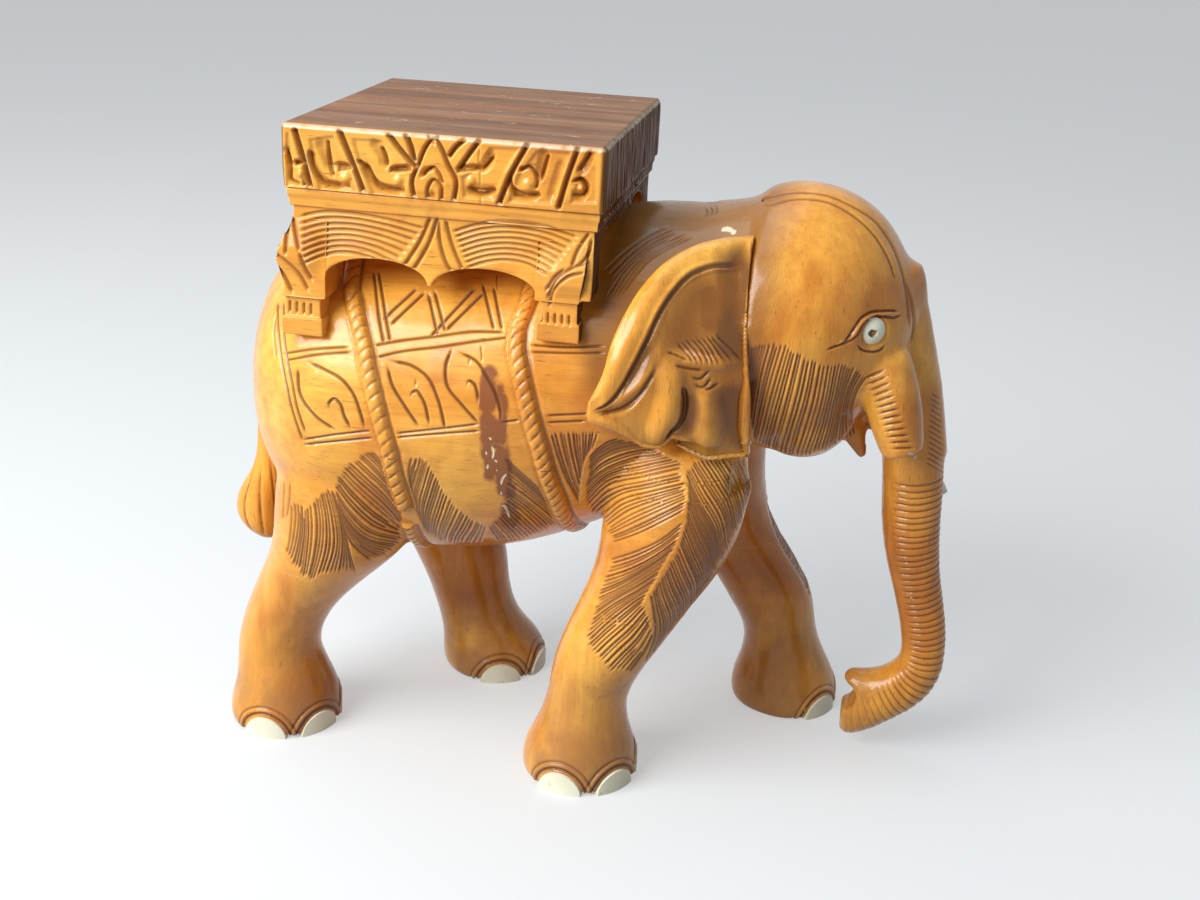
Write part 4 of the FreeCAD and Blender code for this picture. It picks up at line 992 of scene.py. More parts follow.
def widened(layer, cells):
    """True in every cell within a few cells of relief."""
    mark = layer > LEAST_RELIEF
    for axis in (0, 1):
        grown = mark.copy()
        for step in range(1, cells + 1):
            grown |= np.roll(mark, step, axis) | np.roll(mark, -step, axis)
        mark = grown
    return mark.astype(float)


def on_photo_side(points):
    """Where each place of the skin lies on the side in the photo: mirrored, and far legs moved
    onto the near ones."""
    near = mirrored(points)
    x, y, z = elephant_mm(points).T
    for shifts, middles in ((FRONT_LEG_SHIFT, FRONT_LEG_MIDDLE), (REAR_LEG_SHIFT, REAR_LEG_MIDDLE)):
        off = np.abs(x - table_at(middles, z)) * MM
        share = (1 - smooth_step(*LEG_REACH, off)) * (y > 0) * (z < LEG_SHIFT_TOP)
        near[:, 0] -= table_at(shifts, z) * share * MM
    return near


def bulge(share):
    """One soft hump between 0 and 1."""
    return np.sin(math.pi * np.clip(share, 0, 1))


def rope_relief(x, y, z):
    """The two ropes round the barrel: relief in mm, and how deep their hollows are."""
    angle = np.degrees(np.arctan2(z - table_at(BARREL, x, 2), np.abs(y)))
    relief = np.zeros(len(x))
    hollow = np.zeros(len(x))
    near_rope = np.zeros(len(x), dtype=bool)
    for rope in (REAR_ROPE, FRONT_ROPE):
        slope = table_at(rope, angle + SLOPE_PROBE) - table_at(rope, angle - SLOPE_PROBE)
        slope /= math.radians(2 * SLOPE_PROBE) * BARREL_RADIUS
        off = (x - table_at(rope, angle)) / np.hypot(1, slope)
        run = -np.radians(angle) * BARREL_RADIUS * np.hypot(1, slope)
        share = np.clip(np.abs(off) / ROPE_HALF_WIDTH, 0, 1)
        body = ROPE_RISE * np.sqrt(1 - share ** 3)
        turn = (run + ROPE_SKEW * off) / ROPE_PITCH
        groove = (1 - np.abs(np.sin(math.pi * turn))) ** GROOVE_POWER
        inside = np.abs(off) < ROPE_HALF_WIDTH
        relief += np.where(inside, body - ROPE_CUT * groove * np.sqrt(1 - share ** 2), 0)
        hollow = np.maximum(hollow, np.where(inside, groove * GROOVE_HOLLOW, 0))
        ahead = bulge((off - ROPE_HALF_WIDTH) / ROPE_GUTTER)
        behind = bulge((-off - ROPE_HALF_WIDTH) / ROPE_GUTTER * REAR_GUTTER)
        cut = np.maximum(ahead, REAR_GUTTER_SHARE * behind)
        relief -= ROPE_GUTTER_DEPTH * cut
        hollow = np.maximum(hollow, cut * GUTTER_HOLLOW)
        near_rope |= np.abs(off) < ROPE_HALF_WIDTH + ROPE_GUTTER
    return relief, hollow, near_rope


def trunk_relief(x, y, z):
    """Rings across the trunk, on its outer side."""
    line = np.array(TRUNK_LINE, float)
    gaps = np.hypot(*np.diff(line, axis=0).T)
    knots = np.concatenate(([0], np.cumsum(gaps)))
    runs = np.arange(0, knots[-1], PATH_STEP)
    path = cubic(knots, line, runs)
    heading = np.gradient(path, axis=0)
    heading /= np.hypot(*heading.T)[:, None]
    best = np.full(len(x), FAR)
    index = np.zeros(len(x), dtype=int)
    for step in range(0, len(runs), 2):
        gap = (x - path[step, 0]) ** 2 + (z - path[step, 1]) ** 2
        closer = gap < best
        best[closer] = gap[closer]
        index[closer] = step
    off_x, off_z = x - path[index, 0], z - path[index, 1]
    along = runs[index] + off_x * heading[index, 0] + off_z * heading[index, 1]
    outward = off_z * heading[index, 0] - off_x * heading[index, 1]
    lean = outward / np.maximum(np.hypot(outward, y), 1)
    wobble = sum(height * np.sin(along * rate + y * across) for height, rate, across in RING_WAVES)
    phase = (along + wobble + RING_LEAN * y) / TRUNK_PITCH
    groove = (1 - np.abs(np.sin(math.pi * phase))) ** RING_POWER
    return groove * smooth_step(*RING_TURN, lean) * table_at(RING_FADE, along) * TRUNK_DEPTH


def arc_relief(x, y, z):
    """Double arches carved round the toenails."""
    relief = np.zeros(len(x))
    for node in NAIL_NODES:
        low, high = box_of(node)
        middle_x, middle_y, _ = elephant_mm((low + high)[None] / 2)[0]
        off_x, off_y = x - middle_x, y - middle_y
        near = (np.abs(off_x) < ARC_REACH) & (np.abs(off_y) < ARC_REACH) & (z < ARC_TOP)
        ring = np.sqrt(off_x ** 2 + off_y ** 2 + z ** 2)
        for radius, half, height in NAIL_ARCS:
            share = np.clip(np.abs(ring - radius) / half, 0, 1)
            relief += np.where(near, height * (1 - share ** 2) ** MARK_POWER, 0)
    return relief


def inlay_sink(points):
    """How far the skin steps back under the toenails and eyes."""
    sink = np.zeros(len(points))
    for node in NAIL_NODES + EYE_NODES:
        low, high = box_of(node)
        inside = np.all((points > low - INLAY_SEARCH) & (points < high + INLAY_SEARCH), axis=1)
        tree = BVHTree.FromPolygons([v.co for v in NODES[node].data.vertices],
                                    [p.vertices for p in NODES[node].data.polygons])
        for index in np.nonzero(inside)[0]:
            gap = tree.find_nearest(Vector(points[index]))[3]
            if gap is not None and gap < INLAY_GAP:
                sink[index] = INLAY_SINK
    return sink


JOINT_PLANES = ((2, LEG_JOINT_Z), (2, THROAT_Z), (2, TRUNK_JOINT_Z), (0, NECK_JOINT_X))
JOINT_GRIP = 1e-5
CUT_GRIP = 1e-6


def piece_of(x, y, z):
    """The block that a place of the skin belongs to."""
    trunk = np.where(z < THROAT_Z, (x > TRUNK_TIP_LIMIT_X) & (np.abs(y) < TRUNK_HALF_Y),
                     (z < TRUNK_JOINT_Z) & (x > TRUNK_REAR_X) & (np.abs(y) < TRUNK_HALF_Y))
    leg = np.where(y < 0, np.where(x < FRONT_LEG_LIMIT_X, 5, 3),
                   np.where(x < REAR_LEFT_LEG_LIMIT_X, 6, 4))
    rest = np.where((z > THROAT_Z) & (x > NECK_JOINT_X), 1, np.where(z < LEG_JOINT_Z, leg, 0))
    return np.where(trunk, 2, rest)


def split_body(whole):
    """Cuts the smooth skin at the joints' planes into open shells, which keep the skin's normals."""
    mesh = bmesh.new()
    mesh.from_mesh(whole.data)
    for axis, place in JOINT_PLANES:
        point, normal = [0, 0, 0], [0, 0, 0]
        point[axis], normal[axis] = place, 1
        bmesh.ops.bisect_plane(mesh, geom=mesh.verts[:] + mesh.edges[:] + mesh.faces[:],
                               plane_co=point, plane_no=normal, dist=CUT_GRIP)
    mesh.to_mesh(whole.data)
    mesh.free()
    store = whole.data.attributes.new("skin_normal", "FLOAT_VECTOR", "POINT")
    store.data.foreach_set("vector", read_normals(whole).reshape(-1).astype(np.float32))
    centres = np.zeros(len(whole.data.polygons) * 3)
    whole.data.polygons.foreach_get("center", centres)
    x, y, z = centres.reshape(-1, 3).T
    owner = piece_of(x, y, z)
    pieces = {}
    for index, name in enumerate(PIECES):
        mesh = bmesh.new()
        mesh.from_mesh(whole.data)
        mesh.faces.ensure_lookup_table()
        bmesh.ops.delete(mesh, geom=[mesh.faces[i] for i in np.nonzero(owner != index)[0]],
                         context="FACES")
        data = bpy.data.meshes.new(name + "_carved")
        mesh.to_mesh(data)
        mesh.free()
        pieces[name] = link(name + "_carved", data)
    bpy.data.objects.remove(whole)
    return pieces


def close_ends(thing):
    """Flat faces where a block meets the next one in a single plane."""
    mesh = bmesh.new()
    mesh.from_mesh(thing.data)
    left = {edge for edge in mesh.edges if edge.is_boundary}
    while left:
        loop, front = set(), [left.pop()]
        while front:
            edge = front.pop()
            loop.add(edge)
            for vertex in edge.verts:
                for other in vertex.link_edges:
                    if other in left:
                        left.discard(other)
                        front.append(other)
        places = np.array([vertex.co for edge in loop for vertex in edge.verts])
        if any(np.abs(places[:, axis] - place).max() < JOINT_GRIP for axis, place in JOINT_PLANES):
            bmesh.ops.holes_fill(mesh, edges=list(loop), sides=0)
    mesh.to_mesh(thing.data)
    mesh.free()


def skin_normals(thing):
    flat = np.zeros(len(thing.data.vertices) * 3, dtype=np.float32)
    thing.data.attributes["skin_normal"].data.foreach_get("vector", flat)
    normals = flat.reshape(-1, 3).astype(float)
    return normals / np.maximum(np.linalg.norm(normals, axis=1), CUT_GRIP)[:, None]


# Cells around the carving in which faces are split, first widely and then closely.
REFINE_REACHES = (8, 3)
FINE_MASK = 0.1
FINE_TURN = 0.02
# How squarely the skin faces the photo's camera before the carving takes hold.
CARVED_TURN = (0.06, 0.24)
# Limits in mm: the whole trunk's rings, the ropes on the barrel, the arches on the feet.
RINGS_X = 305
RINGS_Z = 45
ROPES_X = (-110, 110)
ROPES_FINE_X = (-110, 120)
SHOULDER_TOP = 200
SHOULDER_Y = 95
FEET_FINE = 28
LEAST_ARC = 0.01
SKIN_ROUNDS = 2
WOBBLE_HEIGHT = 0.35
WOBBLE_SIZE = 0.045
HAND_GRAIN = 0.1
HAND_GRAIN_SIZE = 0.014
# Darker neck behind the seat, partly dark varnish and partly painted shade cast by the seat: limits in mm,
# and how dark it is.
PATINA_SHADE_REAR = (86, 104)
PATINA_SHADE_FRONT = (196, 228)
PATINA_SHADE_LOW = (272, 312)
PATINA_SHADE_SHARE = 0.62


def own_mask(points, name, last):
    """Where ropes, trunk rings and the arches of the feet need small faces."""
    x, y, z = elephant_mm(points).T
    if name == "trunk":
        return (x > RINGS_X) | (z < RINGS_Z) if last else np.ones(len(points), dtype=bool)
    if name == "torso" and not last:
        return rope_relief(x, y, z)[2] & (x < ROPES_FINE_X[1]) & (x > ROPES_FINE_X[0])
    if name.startswith("leg_"):
        return np.abs(arc_relief(x, y, z)) > LEAST_ARC if last else z < FEET_FINE
    return np.zeros(len(points), dtype=bool)


def own_relief(name, points, relief, hollow):
    """Adds the forms that only one kind of block has."""
    x, y, z = elephant_mm(points).T
    if name == "torso":
        on_barrel = (x > ROPES_X[0]) & (x < ROPES_X[1]) & ~((z < SHOULDER_TOP) & (np.abs(y) > SHOULDER_Y))
        ropes, rope_hollow, _ = rope_relief(x, y, z)
        taken = on_barrel & ((rope_hollow > LEAST_RELIEF) | (ropes > LEAST_RELIEF))
        return np.where(taken, ropes, relief), np.where(taken, rope_hollow, hollow)
    if name == "head":
        step = table_at(BRIDGE, z) * np.exp(-(y / BRIDGE_HALF) ** 2) * (x > BRIDGE_REAR)
        return relief + step, hollow
    if name == "trunk":
        rings = trunk_relief(x, y, z) * (z < TRUNK_PLAIN)
        return relief - rings, np.maximum(hollow, rings / TRUNK_DEPTH)
    arcs = arc_relief(x, y, z)
    return relief + arcs, np.maximum(hollow, -arcs)


def carve_block(name, thing, sheet, body_sheet, masks):
    """Small faces near the carving, then the carving itself."""
    for reach, mask in masks:
        points, normals = read_points(thing), skin_normals(thing)
        near = on_photo_side(points)
        columns, rows, _ = seen_at(near)
        wanted = (sheet.read(mask, columns, rows) > FINE_MASK) & (facing(near, normals, points) > FINE_TURN)
        wanted |= own_mask(points, name, reach == min(REFINE_REACHES))
        if wanted.any():
            finer(thing, wanted)
    plain, normals = read_points(thing), skin_normals(thing)
    smoothed(thing, SKIN_ROUNDS)
    points = read_points(thing)
    flat = [np.abs(plain[:, axis] - place) < JOINT_GRIP for axis, place in JOINT_PLANES]
    at_joint = np.any(flat, axis=0)
    points[at_joint] = plain[at_joint]
    near = on_photo_side(points)
    columns, rows, _ = seen_at(near)
    weight = smooth_step(*CARVED_TURN, facing(near, normals, points))
    cut = np.maximum(*(each.read(each.cut, columns, rows) for each in (sheet, body_sheet))) * weight
    relief, hollow = own_relief(name, points, sheet.forms(columns, rows) * weight - cut, cut / HAIR_DEPTH)
    relief += WOBBLE_HEIGHT * hand_wobble(points, WOBBLE_SIZE, BODY_WAVES_SEED)
    relief += HAND_GRAIN * hand_wobble(points, HAND_GRAIN_SIZE, BODY_GRAIN_SEED)
    relief -= inlay_sink(points)
    moved = points + normals * (relief * MM)[:, None]
    if name in ("head", "torso"):
        moved = over_dowels(moved)
    for (axis, _), level in zip(JOINT_PLANES, flat):
        moved[level, axis] = points[level, axis]
    moved[:, 2] = np.maximum(moved[:, 2], 0)
    write_points(thing, moved)
    write_values(thing, "hollow", np.clip(hollow, 0, 1))
    x, _, z = elephant_mm(points).T
    # Painted shade of the seat together with dark varnish: the neck behind the seat is darkened.
    behind_seat = smooth_step(*PATINA_SHADE_REAR, x) * (1 - smooth_step(*PATINA_SHADE_FRONT, x))
    write_values(thing, "patina_and_shade", PATINA_SHADE_SHARE * behind_seat * smooth_step(*PATINA_SHADE_LOW, z))
    seen_side = points[:, 1] < 0
    write_values(thing, "stain_and_shade", sheet.read(sheet.stain_and_shade, columns, rows) * seen_side)
    write_values(thing, "filler", sheet.read(sheet.filler, columns, rows) * seen_side)
    close_ends(thing)


# Chest under the ears and the fold beside it, in mm from the seat's middle, and how far the chest swells.
CHEST = (194, 56, 241)
CHEST_FOLD = (201, 60, 231)
CHEST_REACH = 19
CHEST_SWELL = 11
CHEST_WIDTH = 5
FOLD_GAIN = 3
NECK_BLEND = 0.012
NECK_ROUNDS = 60
NECK_LEVELS = 10


def near_chest(x, y, z, centre):
    """Falls off from 1 at a place of the chest, on both sides."""
    gaps = zip((x, np.abs(y), z), centre)
    return np.exp(-sum(((value - middle) / CHEST_REACH) ** 2 for value, middle in gaps))


def soften_neck(whole):
    """Fuller chest, and a soft turn from the neck to the head."""
    points = read_points(whole)
    x, y, z = elephant_mm(points).T
    swell = near_chest(x, y, z, CHEST) * MM
    fold = near_chest(x, y, z, CHEST_FOLD)
    points[:, 0] += CHEST_SWELL * swell
    points[:, 1] += CHEST_WIDTH * swell * np.sign(points[:, 1])
    write_points(whole, points)
    ear_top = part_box("ear_right")[1][2]
    share = np.exp(-((points[:, 0] - NECK_JOINT_X) / NECK_BLEND) ** 2)
    share *= smooth_step(ear_top - NECK_BLEND, ear_top + NECK_BLEND, points[:, 2])
    share = np.maximum(share, np.clip(FOLD_GAIN * fold, 0, 1))
    levels = np.round(share * NECK_LEVELS).astype(int)
    group = whole.vertex_groups.new(name="neck")
    for level in range(1, NECK_LEVELS + 1):
        group.add([int(i) for i in np.nonzero(levels == level)[0]], level / NECK_LEVELS, "REPLACE")
    smoothed(whole, NECK_ROUNDS, "neck")
    whole.vertex_groups.clear()


def make_body():
    whole = joined_copy("body_skin", BODY_NODES, [link("barrel", barrel_mesh())])
    remesh(whole, BODY_VOXEL, BODY_ROUNDS)
    soften_neck(whole)
    torso, head = torso_sheet(), head_sheet()
    masks = {}
    for sheet in (torso, head):
        layer = sheet.cut + sheet.rise
        masks[sheet] = [(reach, widened(layer, reach)) for reach in REFINE_REACHES]
    pieces = split_body(whole)
    for name, thing in pieces.items():
        sheet = head if name in ("head", "trunk") else torso
        carve_block(name, thing, sheet, torso, masks[sheet])
    return pieces


# Tail and ears.
TAIL_VOXEL = 0.0012
TAIL_ROUNDS = 5
TAIL_GROOVES = 9
TAIL_DEPTH = 1.3
TAIL_TWIST = 2.2
TAIL_POWER = 3
# Shares of the tail's height between which the grooves start and end.
TUFT_LOW = (0.0, 0.06)
TUFT_HIGH = (0.25, 0.42)
EAR_VOXEL = 0.0009
EAR_ROUNDS = 4
EAR_RIM = (
    (748, 249), (722, 248), (700, 251), (682, 258), (661, 277), (645, 303), (633, 330), (620, 357),
    (607, 384), (593, 409))
EAR_FIELD = (
    (748, 264), (722, 263), (700, 266), (686, 274), (669, 291), (655, 312), (643, 338), (632, 361),
    (618, 388), (604, 406), (590, 419), (604, 431), (640, 452), (700, 466), (752, 462))
EAR_RIM_GROOVE = (
    (742, 266), (715, 265), (692, 273), (674, 291), (660, 313), (648, 339), (636, 363), (622, 388),
    (604, 409), (592, 417))
EAR_SHAPES = (
    (((722, 285), (700, 300), (686, 330), (678, 352)), 30, -2.2),
    (((655, 335), (645, 362), (622, 392)), 11, -1.4), (((600, 418), (640, 425), (672, 425)), 34, 1.8),
    (((672, 360), (672, 390), (665, 420), (655, 446)), 17, 3.2),
    (((690, 388), (692, 415), (682, 446)), 12, -3.2), (((706, 385), (710, 415), (704, 455)), 14, 2.9),
    (((732, 385), (734, 420), (730, 455)), 16, -2.2), (((640, 392), (622, 410), (600, 424)), 9, -1.8),
    (((672, 352), (700, 362), (738, 366)), 10, 2.2), (((655, 352), (640, 384), (610, 414)), 8, 1.8))
# Painted shade on the ear where its field sinks and turns from the light, and a thin dark line of painted
# shade where it meets the head: lines, half width in pixels, strength.
EAR_PAINTED_SHADE = (
    (((735, 262), (735, 330), (738, 358)), 34, 1.0), (((712, 280), (712, 330)), 30, 0.85),
    (((722, 385), (728, 420), (735, 455)), 24, 0.85), (((690, 392), (690, 420), (684, 440)), 9, 1.0),
    (((672, 300), (655, 345), (640, 380)), 9, 0.6),
    (((752, 238), (752, 300), (751, 350), (750, 455)), 3.5, 1.0))
EAR_LOBE_EDGE = ((684, 388), (688, 405), (685, 422), (675, 438), (665, 450))
EAR_FOLD = ((658, 368), (650, 382), (638, 400), (620, 414), (596, 425))
EAR_CREASES = (
    ((667, 352), (680, 357), (690, 362)), ((675, 366), (690, 370), (705, 372)),
    ((692, 378), (700, 381), (712, 372)), ((695, 386), (703, 389), (714, 380)),
    ((704, 391), (712, 390), (720, 384)))
# Groups of strokes: lines, half width in pixels, depth in mm, taper in pixels.
EAR_STROKES = (
    ((EAR_RIM_GROOVE,), 3.4, 2.4, 10), ((EAR_LOBE_EDGE,), 4.5, 3.0, 6), ((EAR_FOLD,), 3.5, 1.5, 12),
    (EAR_CREASES, 2.0, 1.7, 5))
EAR_RIM_SHAPE = (11, 1.8, 6)
EAR_FIELD_DEPTH = 3.6
EAR_FIELD_RAMP = 9
EAR_SHAPE_TAPER = 18
EAR_PAINTED_SHADE_TAPER = 12
EAR_HAIR_PITCH = 5.5
EAR_HAIR_STROKE = (1.6, 1.5, 6)
EAR_HEM = (
    (588, 428), (600, 429), (610, 431), (622, 435), (632, 441), (642, 448), (652, 450), (660, 449),
    (668, 444), (676, 446), (686, 451), (698, 457), (710, 461), (722, 458), (746, 459))
HEM_BIN = 6
HEM_REACH = 45
EAR_TUCK = 0.016
EAR_TUCK_END = 0.001
EAR_TUCK_DEPTH = 0.0045
EAR_SINK = 0.0003
EAR_PUSH = ((290, 0), (350, 4), (400, 9), (460, 11.5))
HEAD_BIN = 0.004
HEAD_BAND = 0.008
# How squarely the ear faces the photo's camera before its carving takes hold.
EAR_TURN = (0.15, 0.45)
EAR_HOLLOW = 1.8
EAR_SHADE = 8
PEG_BLEND = 0.009
PEG_COVER = 0.0009


def ear_sheet():
    sheet = Sheet(*EAR_AREA)
    sheet.shape(EAR_RIM, *EAR_RIM_SHAPE)
    sheet.field(EAR_FIELD, -EAR_FIELD_DEPTH, EAR_FIELD_RAMP)
    for line, half_width, height in EAR_SHAPES:
        sheet.shape(line, half_width, height, EAR_SHAPE_TAPER)
    ear_hair = strands(EAR_HAIR, EAR_HAIR_PITCH, np.random.default_rng(EAR_HAIR_SEED))
    sheet.strokes(((ear_hair, *EAR_HAIR_STROKE), *EAR_STROKES))
    # Painted shade strokes on the ear, kept in the same layer as the flank's real stain.
    for line, half_width, amount in EAR_PAINTED_SHADE:
        sheet.draw(sheet.stain_and_shade, line, half_width, amount, EAR_PAINTED_SHADE_TAPER)
    return sheet


def hem_shift(columns, rows):
    """How far the ear's scalloped lower edge lies below the plain one, in photo pixels."""
    bins = np.arange(EAR_HEM[0][0], EAR_HEM[-1][0] + 1, HEM_BIN)
    lowest = np.array([rows[np.abs(columns - column) < HEM_BIN].max(initial=0) for column in bins])
    shift = table_at(EAR_HEM, bins) - lowest
    base = np.interp(columns, bins, lowest)
    return np.interp(columns, bins, shift) * smooth_step(base - HEM_REACH, base, rows)


def head_edge(head):
    """Half width of the head just ahead of the neck joint, by height."""
    points = read_points(head)
    close = (points[:, 0] > NECK_JOINT_X) & (points[:, 0] < NECK_JOINT_X + HEAD_BAND)
    rows = np.floor(points[close, 2] / HEAD_BIN).astype(int)
    widths = np.zeros(rows.max() + 1)
    np.maximum.at(widths, rows, np.abs(points[close, 1]))
    heights = (np.arange(len(widths)) + 0.5) * HEAD_BIN
    return heights[widths > 0], widths[widths > 0]


def over_dowels(points):
    """Keeps the surface outside the dowels that hold the ears."""
    pegs = read_points(NODES["ear_dowels"])
    reach = np.zeros(len(points))
    middle = pegs[:, 2].mean()
    for upper in (False, True):
        peg = pegs[(pegs[:, 1] < 0) & ((pegs[:, 2] > middle) == upper)]
        low, high = peg.min(axis=0), peg.max(axis=0)
        centre, radius = (low + high) / 2, (high[2] - low[2]) / 2
        off = np.hypot(np.maximum(np.abs(points[:, 0] - centre[0]) - (high[0] - low[0]) / 2, 0),
                       np.maximum(np.abs(points[:, 2] - centre[2]) - radius, 0))
        near = 1 - smooth_step(0, PEG_BLEND, off)
        out = np.abs(points[:, 1])
        wanted = np.where(out > -high[1], np.maximum(out, PEG_COVER - low[1]), out)
        reach = np.maximum(reach, (wanted - out) * near)
    result = points.copy()
    result[:, 1] += np.copysign(reach, points[:, 1])
    return result


def make_ear(side, sheet, edge):
    whole = joined_copy(f"ear_{side}_carved", [f"ear_{side}"])
    remesh(whole, EAR_VOXEL, EAR_ROUNDS)
    points, normals = read_points(whole), read_normals(whole)
    near = mirrored(points)
    columns, rows, depth = seen_at(near)
    weight = smooth_step(*EAR_TURN, facing(near, normals, points))
    drop = hem_shift(columns, rows) * depth / FOCAL_PIXELS / math.cos(math.radians(CAMERA_PITCH))
    cut = sheet.read(sheet.cut, columns, rows) * weight
    form = sheet.read(sheet.form, columns, rows) * weight
    wobble = WOBBLE_HEIGHT * hand_wobble(points, WOBBLE_SIZE, EAR_WAVES_SEED)
    moved = points + normals * ((form - cut + wobble) * MM)[:, None]
    moved[:, 2] -= drop
    moved[:, 1] = np.clip(moved[:, 1], CAD_LOW[1], CAD_HIGH[1])
    tuck = smooth_step(NECK_JOINT_X - EAR_TUCK, NECK_JOINT_X - EAR_TUCK_END, moved[:, 0])
    out = np.abs(moved[:, 1])
    limit = np.maximum(np.interp(moved[:, 2], *edge) - EAR_SINK, out - EAR_TUCK_DEPTH)
    out = out * (1 - tuck) + np.minimum(out, limit) * tuck
    moved[:, 1] = np.copysign(out, moved[:, 1])
    moved[:, 0] += table_at(EAR_PUSH, rows) * MM * tuck
    write_points(whole, over_dowels(moved))
    write_values(whole, "hollow", np.clip(cut / EAR_HOLLOW, 0, 1))
    # Painted shade: darker where the ear's broad forms sink and under the painted shade strokes.
    shade = np.maximum(sheet.read(sheet.stain_and_shade, columns, rows), np.clip(-form / EAR_SHADE, 0, 1))
    write_values(whole, "patina_and_shade", np.clip(shade, 0, 1) * weight)
    write_values(whole, "tucked", tuck)
    return whole


def make_tail():
    whole = joined_copy("tail_carved", ["tail"])
    remesh(whole, TAIL_VOXEL, TAIL_ROUNDS)
    points, normals = read_points(whole), read_normals(whole)
    x, y, z = elephant_mm(points).T
    share = (z - z.min()) / (z.max() - z.min())
    angle = np.arctan2(y, x - x.mean())
    groove = (1 - np.abs(np.sin(angle * TAIL_GROOVES / 2 + TAIL_TWIST * share))) ** TAIL_POWER
    groove *= smooth_step(*TUFT_LOW, share) * (1 - smooth_step(*TUFT_HIGH, share))
    write_points(whole, points - normals * (groove * TAIL_DEPTH * MM)[:, None])
    write_values(whole, "hollow", groove)
    return whole


class Tree:
    """Short hand for building a material's nodes."""

    def __init__(self, name):
        self.material = bpy.data.materials.new(name)
        self.material.use_nodes = True
        self.nodes, self.links = self.material.node_tree.nodes, self.material.node_tree.links
        self.shader = self.nodes["Principled BSDF"]
        self.place = self.nodes.new("ShaderNodeTexCoord").outputs["Object"]

    def put(self, socket, value):
        """A link for another node's output, otherwise the value itself."""
        if isinstance(value, bpy.types.NodeSocket):
            self.links.new(value, socket)
        else:
            socket.default_value = value

    def noise(self, scale, detail, stretch=(1, 1, 1), distortion=0.0, rough=0.5):
        mapping = self.nodes.new("ShaderNodeMapping")
        mapping.inputs["Scale"].default_value = stretch
        self.links.new(self.place, mapping.inputs["Vector"])
        texture = self.nodes.new("ShaderNodeTexNoise")
        self.links.new(mapping.outputs[0], texture.inputs["Vector"])
        texture.inputs["Scale"].default_value = scale
        texture.inputs["Detail"].default_value = detail
        texture.inputs["Distortion"].default_value = distortion
        texture.inputs["Roughness"].default_value = rough
        return texture.outputs["Fac"]

    def span(self, value, low, high, to_low=0.0, to_high=1.0):
        node = self.nodes.new("ShaderNodeMapRange")
        node.clamp = True
        self.put(node.inputs["Value"], value)
        for name, number in (("From Min", low), ("From Max", high), ("To Min", to_low), ("To Max", to_high)):
            node.inputs[name].default_value = number
        return node.outputs[0]

    def math(self, kind, one, other):
        node = self.nodes.new("ShaderNodeMath")
        node.operation = kind
        self.put(node.inputs[0], one)
        self.put(node.inputs[1], other)
        return node.outputs[0]

    def mix(self, share, one, other):
        node = self.nodes.new("ShaderNodeMix")
        node.data_type = "RGBA"
        self.put(node.inputs["Factor"], share)
        for socket, value in ((node.inputs[6], one), (node.inputs[7], other)):
            self.put(socket, value if isinstance(value, bpy.types.NodeSocket) else (*value, 1))
        return node.outputs[2]

    def noises(self, table, grain):
        """Outputs of a table's noises by name."""
        return {name: self.noise(scale, detail, grain if along else EVEN, distortion, rough)
                for name, (scale, detail, along, distortion, rough) in table.items()}

    def layered(self, ground, noises, layers):
        """Lays layers of colour over a ground."""
        for name, low, high, at_low, at_high, colour in layers:
            ground = self.mix(self.span(noises[name], low, high, at_low, at_high), ground, colour)
        return ground

    def patchy(self, share, scale, low, high):
        """Breaks a share up with blotches of noise."""
        return self.math("MULTIPLY", share, self.span(self.noise(scale, 4), low, high))

    def value(self, name):
        node = self.nodes.new("ShaderNodeAttribute")
        node.attribute_name = name
        return node.outputs["Fac"]

    def bump(self, height, strength, distance, onto=None):
        node = self.nodes.new("ShaderNodeBump")
        node.inputs["Strength"].default_value = strength
        node.inputs["Distance"].default_value = distance
        self.put(node.inputs["Height"], height)
        if onto is not None:
            self.links.new(onto, node.inputs["Normal"])
        return node.outputs[0]

    def finish(self, colour, roughness, normal, coat=0.0, coat_roughness=0.1, specular=0.5):
        self.put(self.shader.inputs["Base Color"], colour)
        self.put(self.shader.inputs["Roughness"], roughness)
        self.links.new(normal, self.shader.inputs["Normal"])
        self.shader.inputs["Coat Weight"].default_value = coat
        self.shader.inputs["Coat Roughness"].default_value = coat_roughness
        self.shader.inputs["Specular IOR Level"].default_value = specular
        return self.material


HONEY_DARK = (0.45, 0.13, 0.012)
HONEY = (0.82, 0.29, 0.025)
HONEY_LIGHT = (0.94, 0.47, 0.07)
FOOT_GRIME = (0.36, 0.15, 0.045)
# Darker in cuts and grooves: dark stain gathered there, and painted shade; also painted shade in concave
# creases.
HOLLOW_STAIN_AND_SHADE = (0.15, 0.045, 0.009)
# Painted shade on the ears, and on the neck behind the seat, where the neck also has dark varnish.
PATINA_AND_SHADE = (0.19, 0.058, 0.007)
REDDISH = (0.24, 0.062, 0.016)
FILLER = (0.80, 0.66, 0.42)
PORE = (0.07, 0.024, 0.007)
WORN = (0.84, 0.62, 0.34)
SEAT_TOP = (0.155, 0.06, 0.024)
SEAT_TOP_LIGHT = (0.33, 0.16, 0.075)
SEAT_TOP_RED = (0.36, 0.13, 0.04)
SCRATCH = (0.70, 0.58, 0.42)
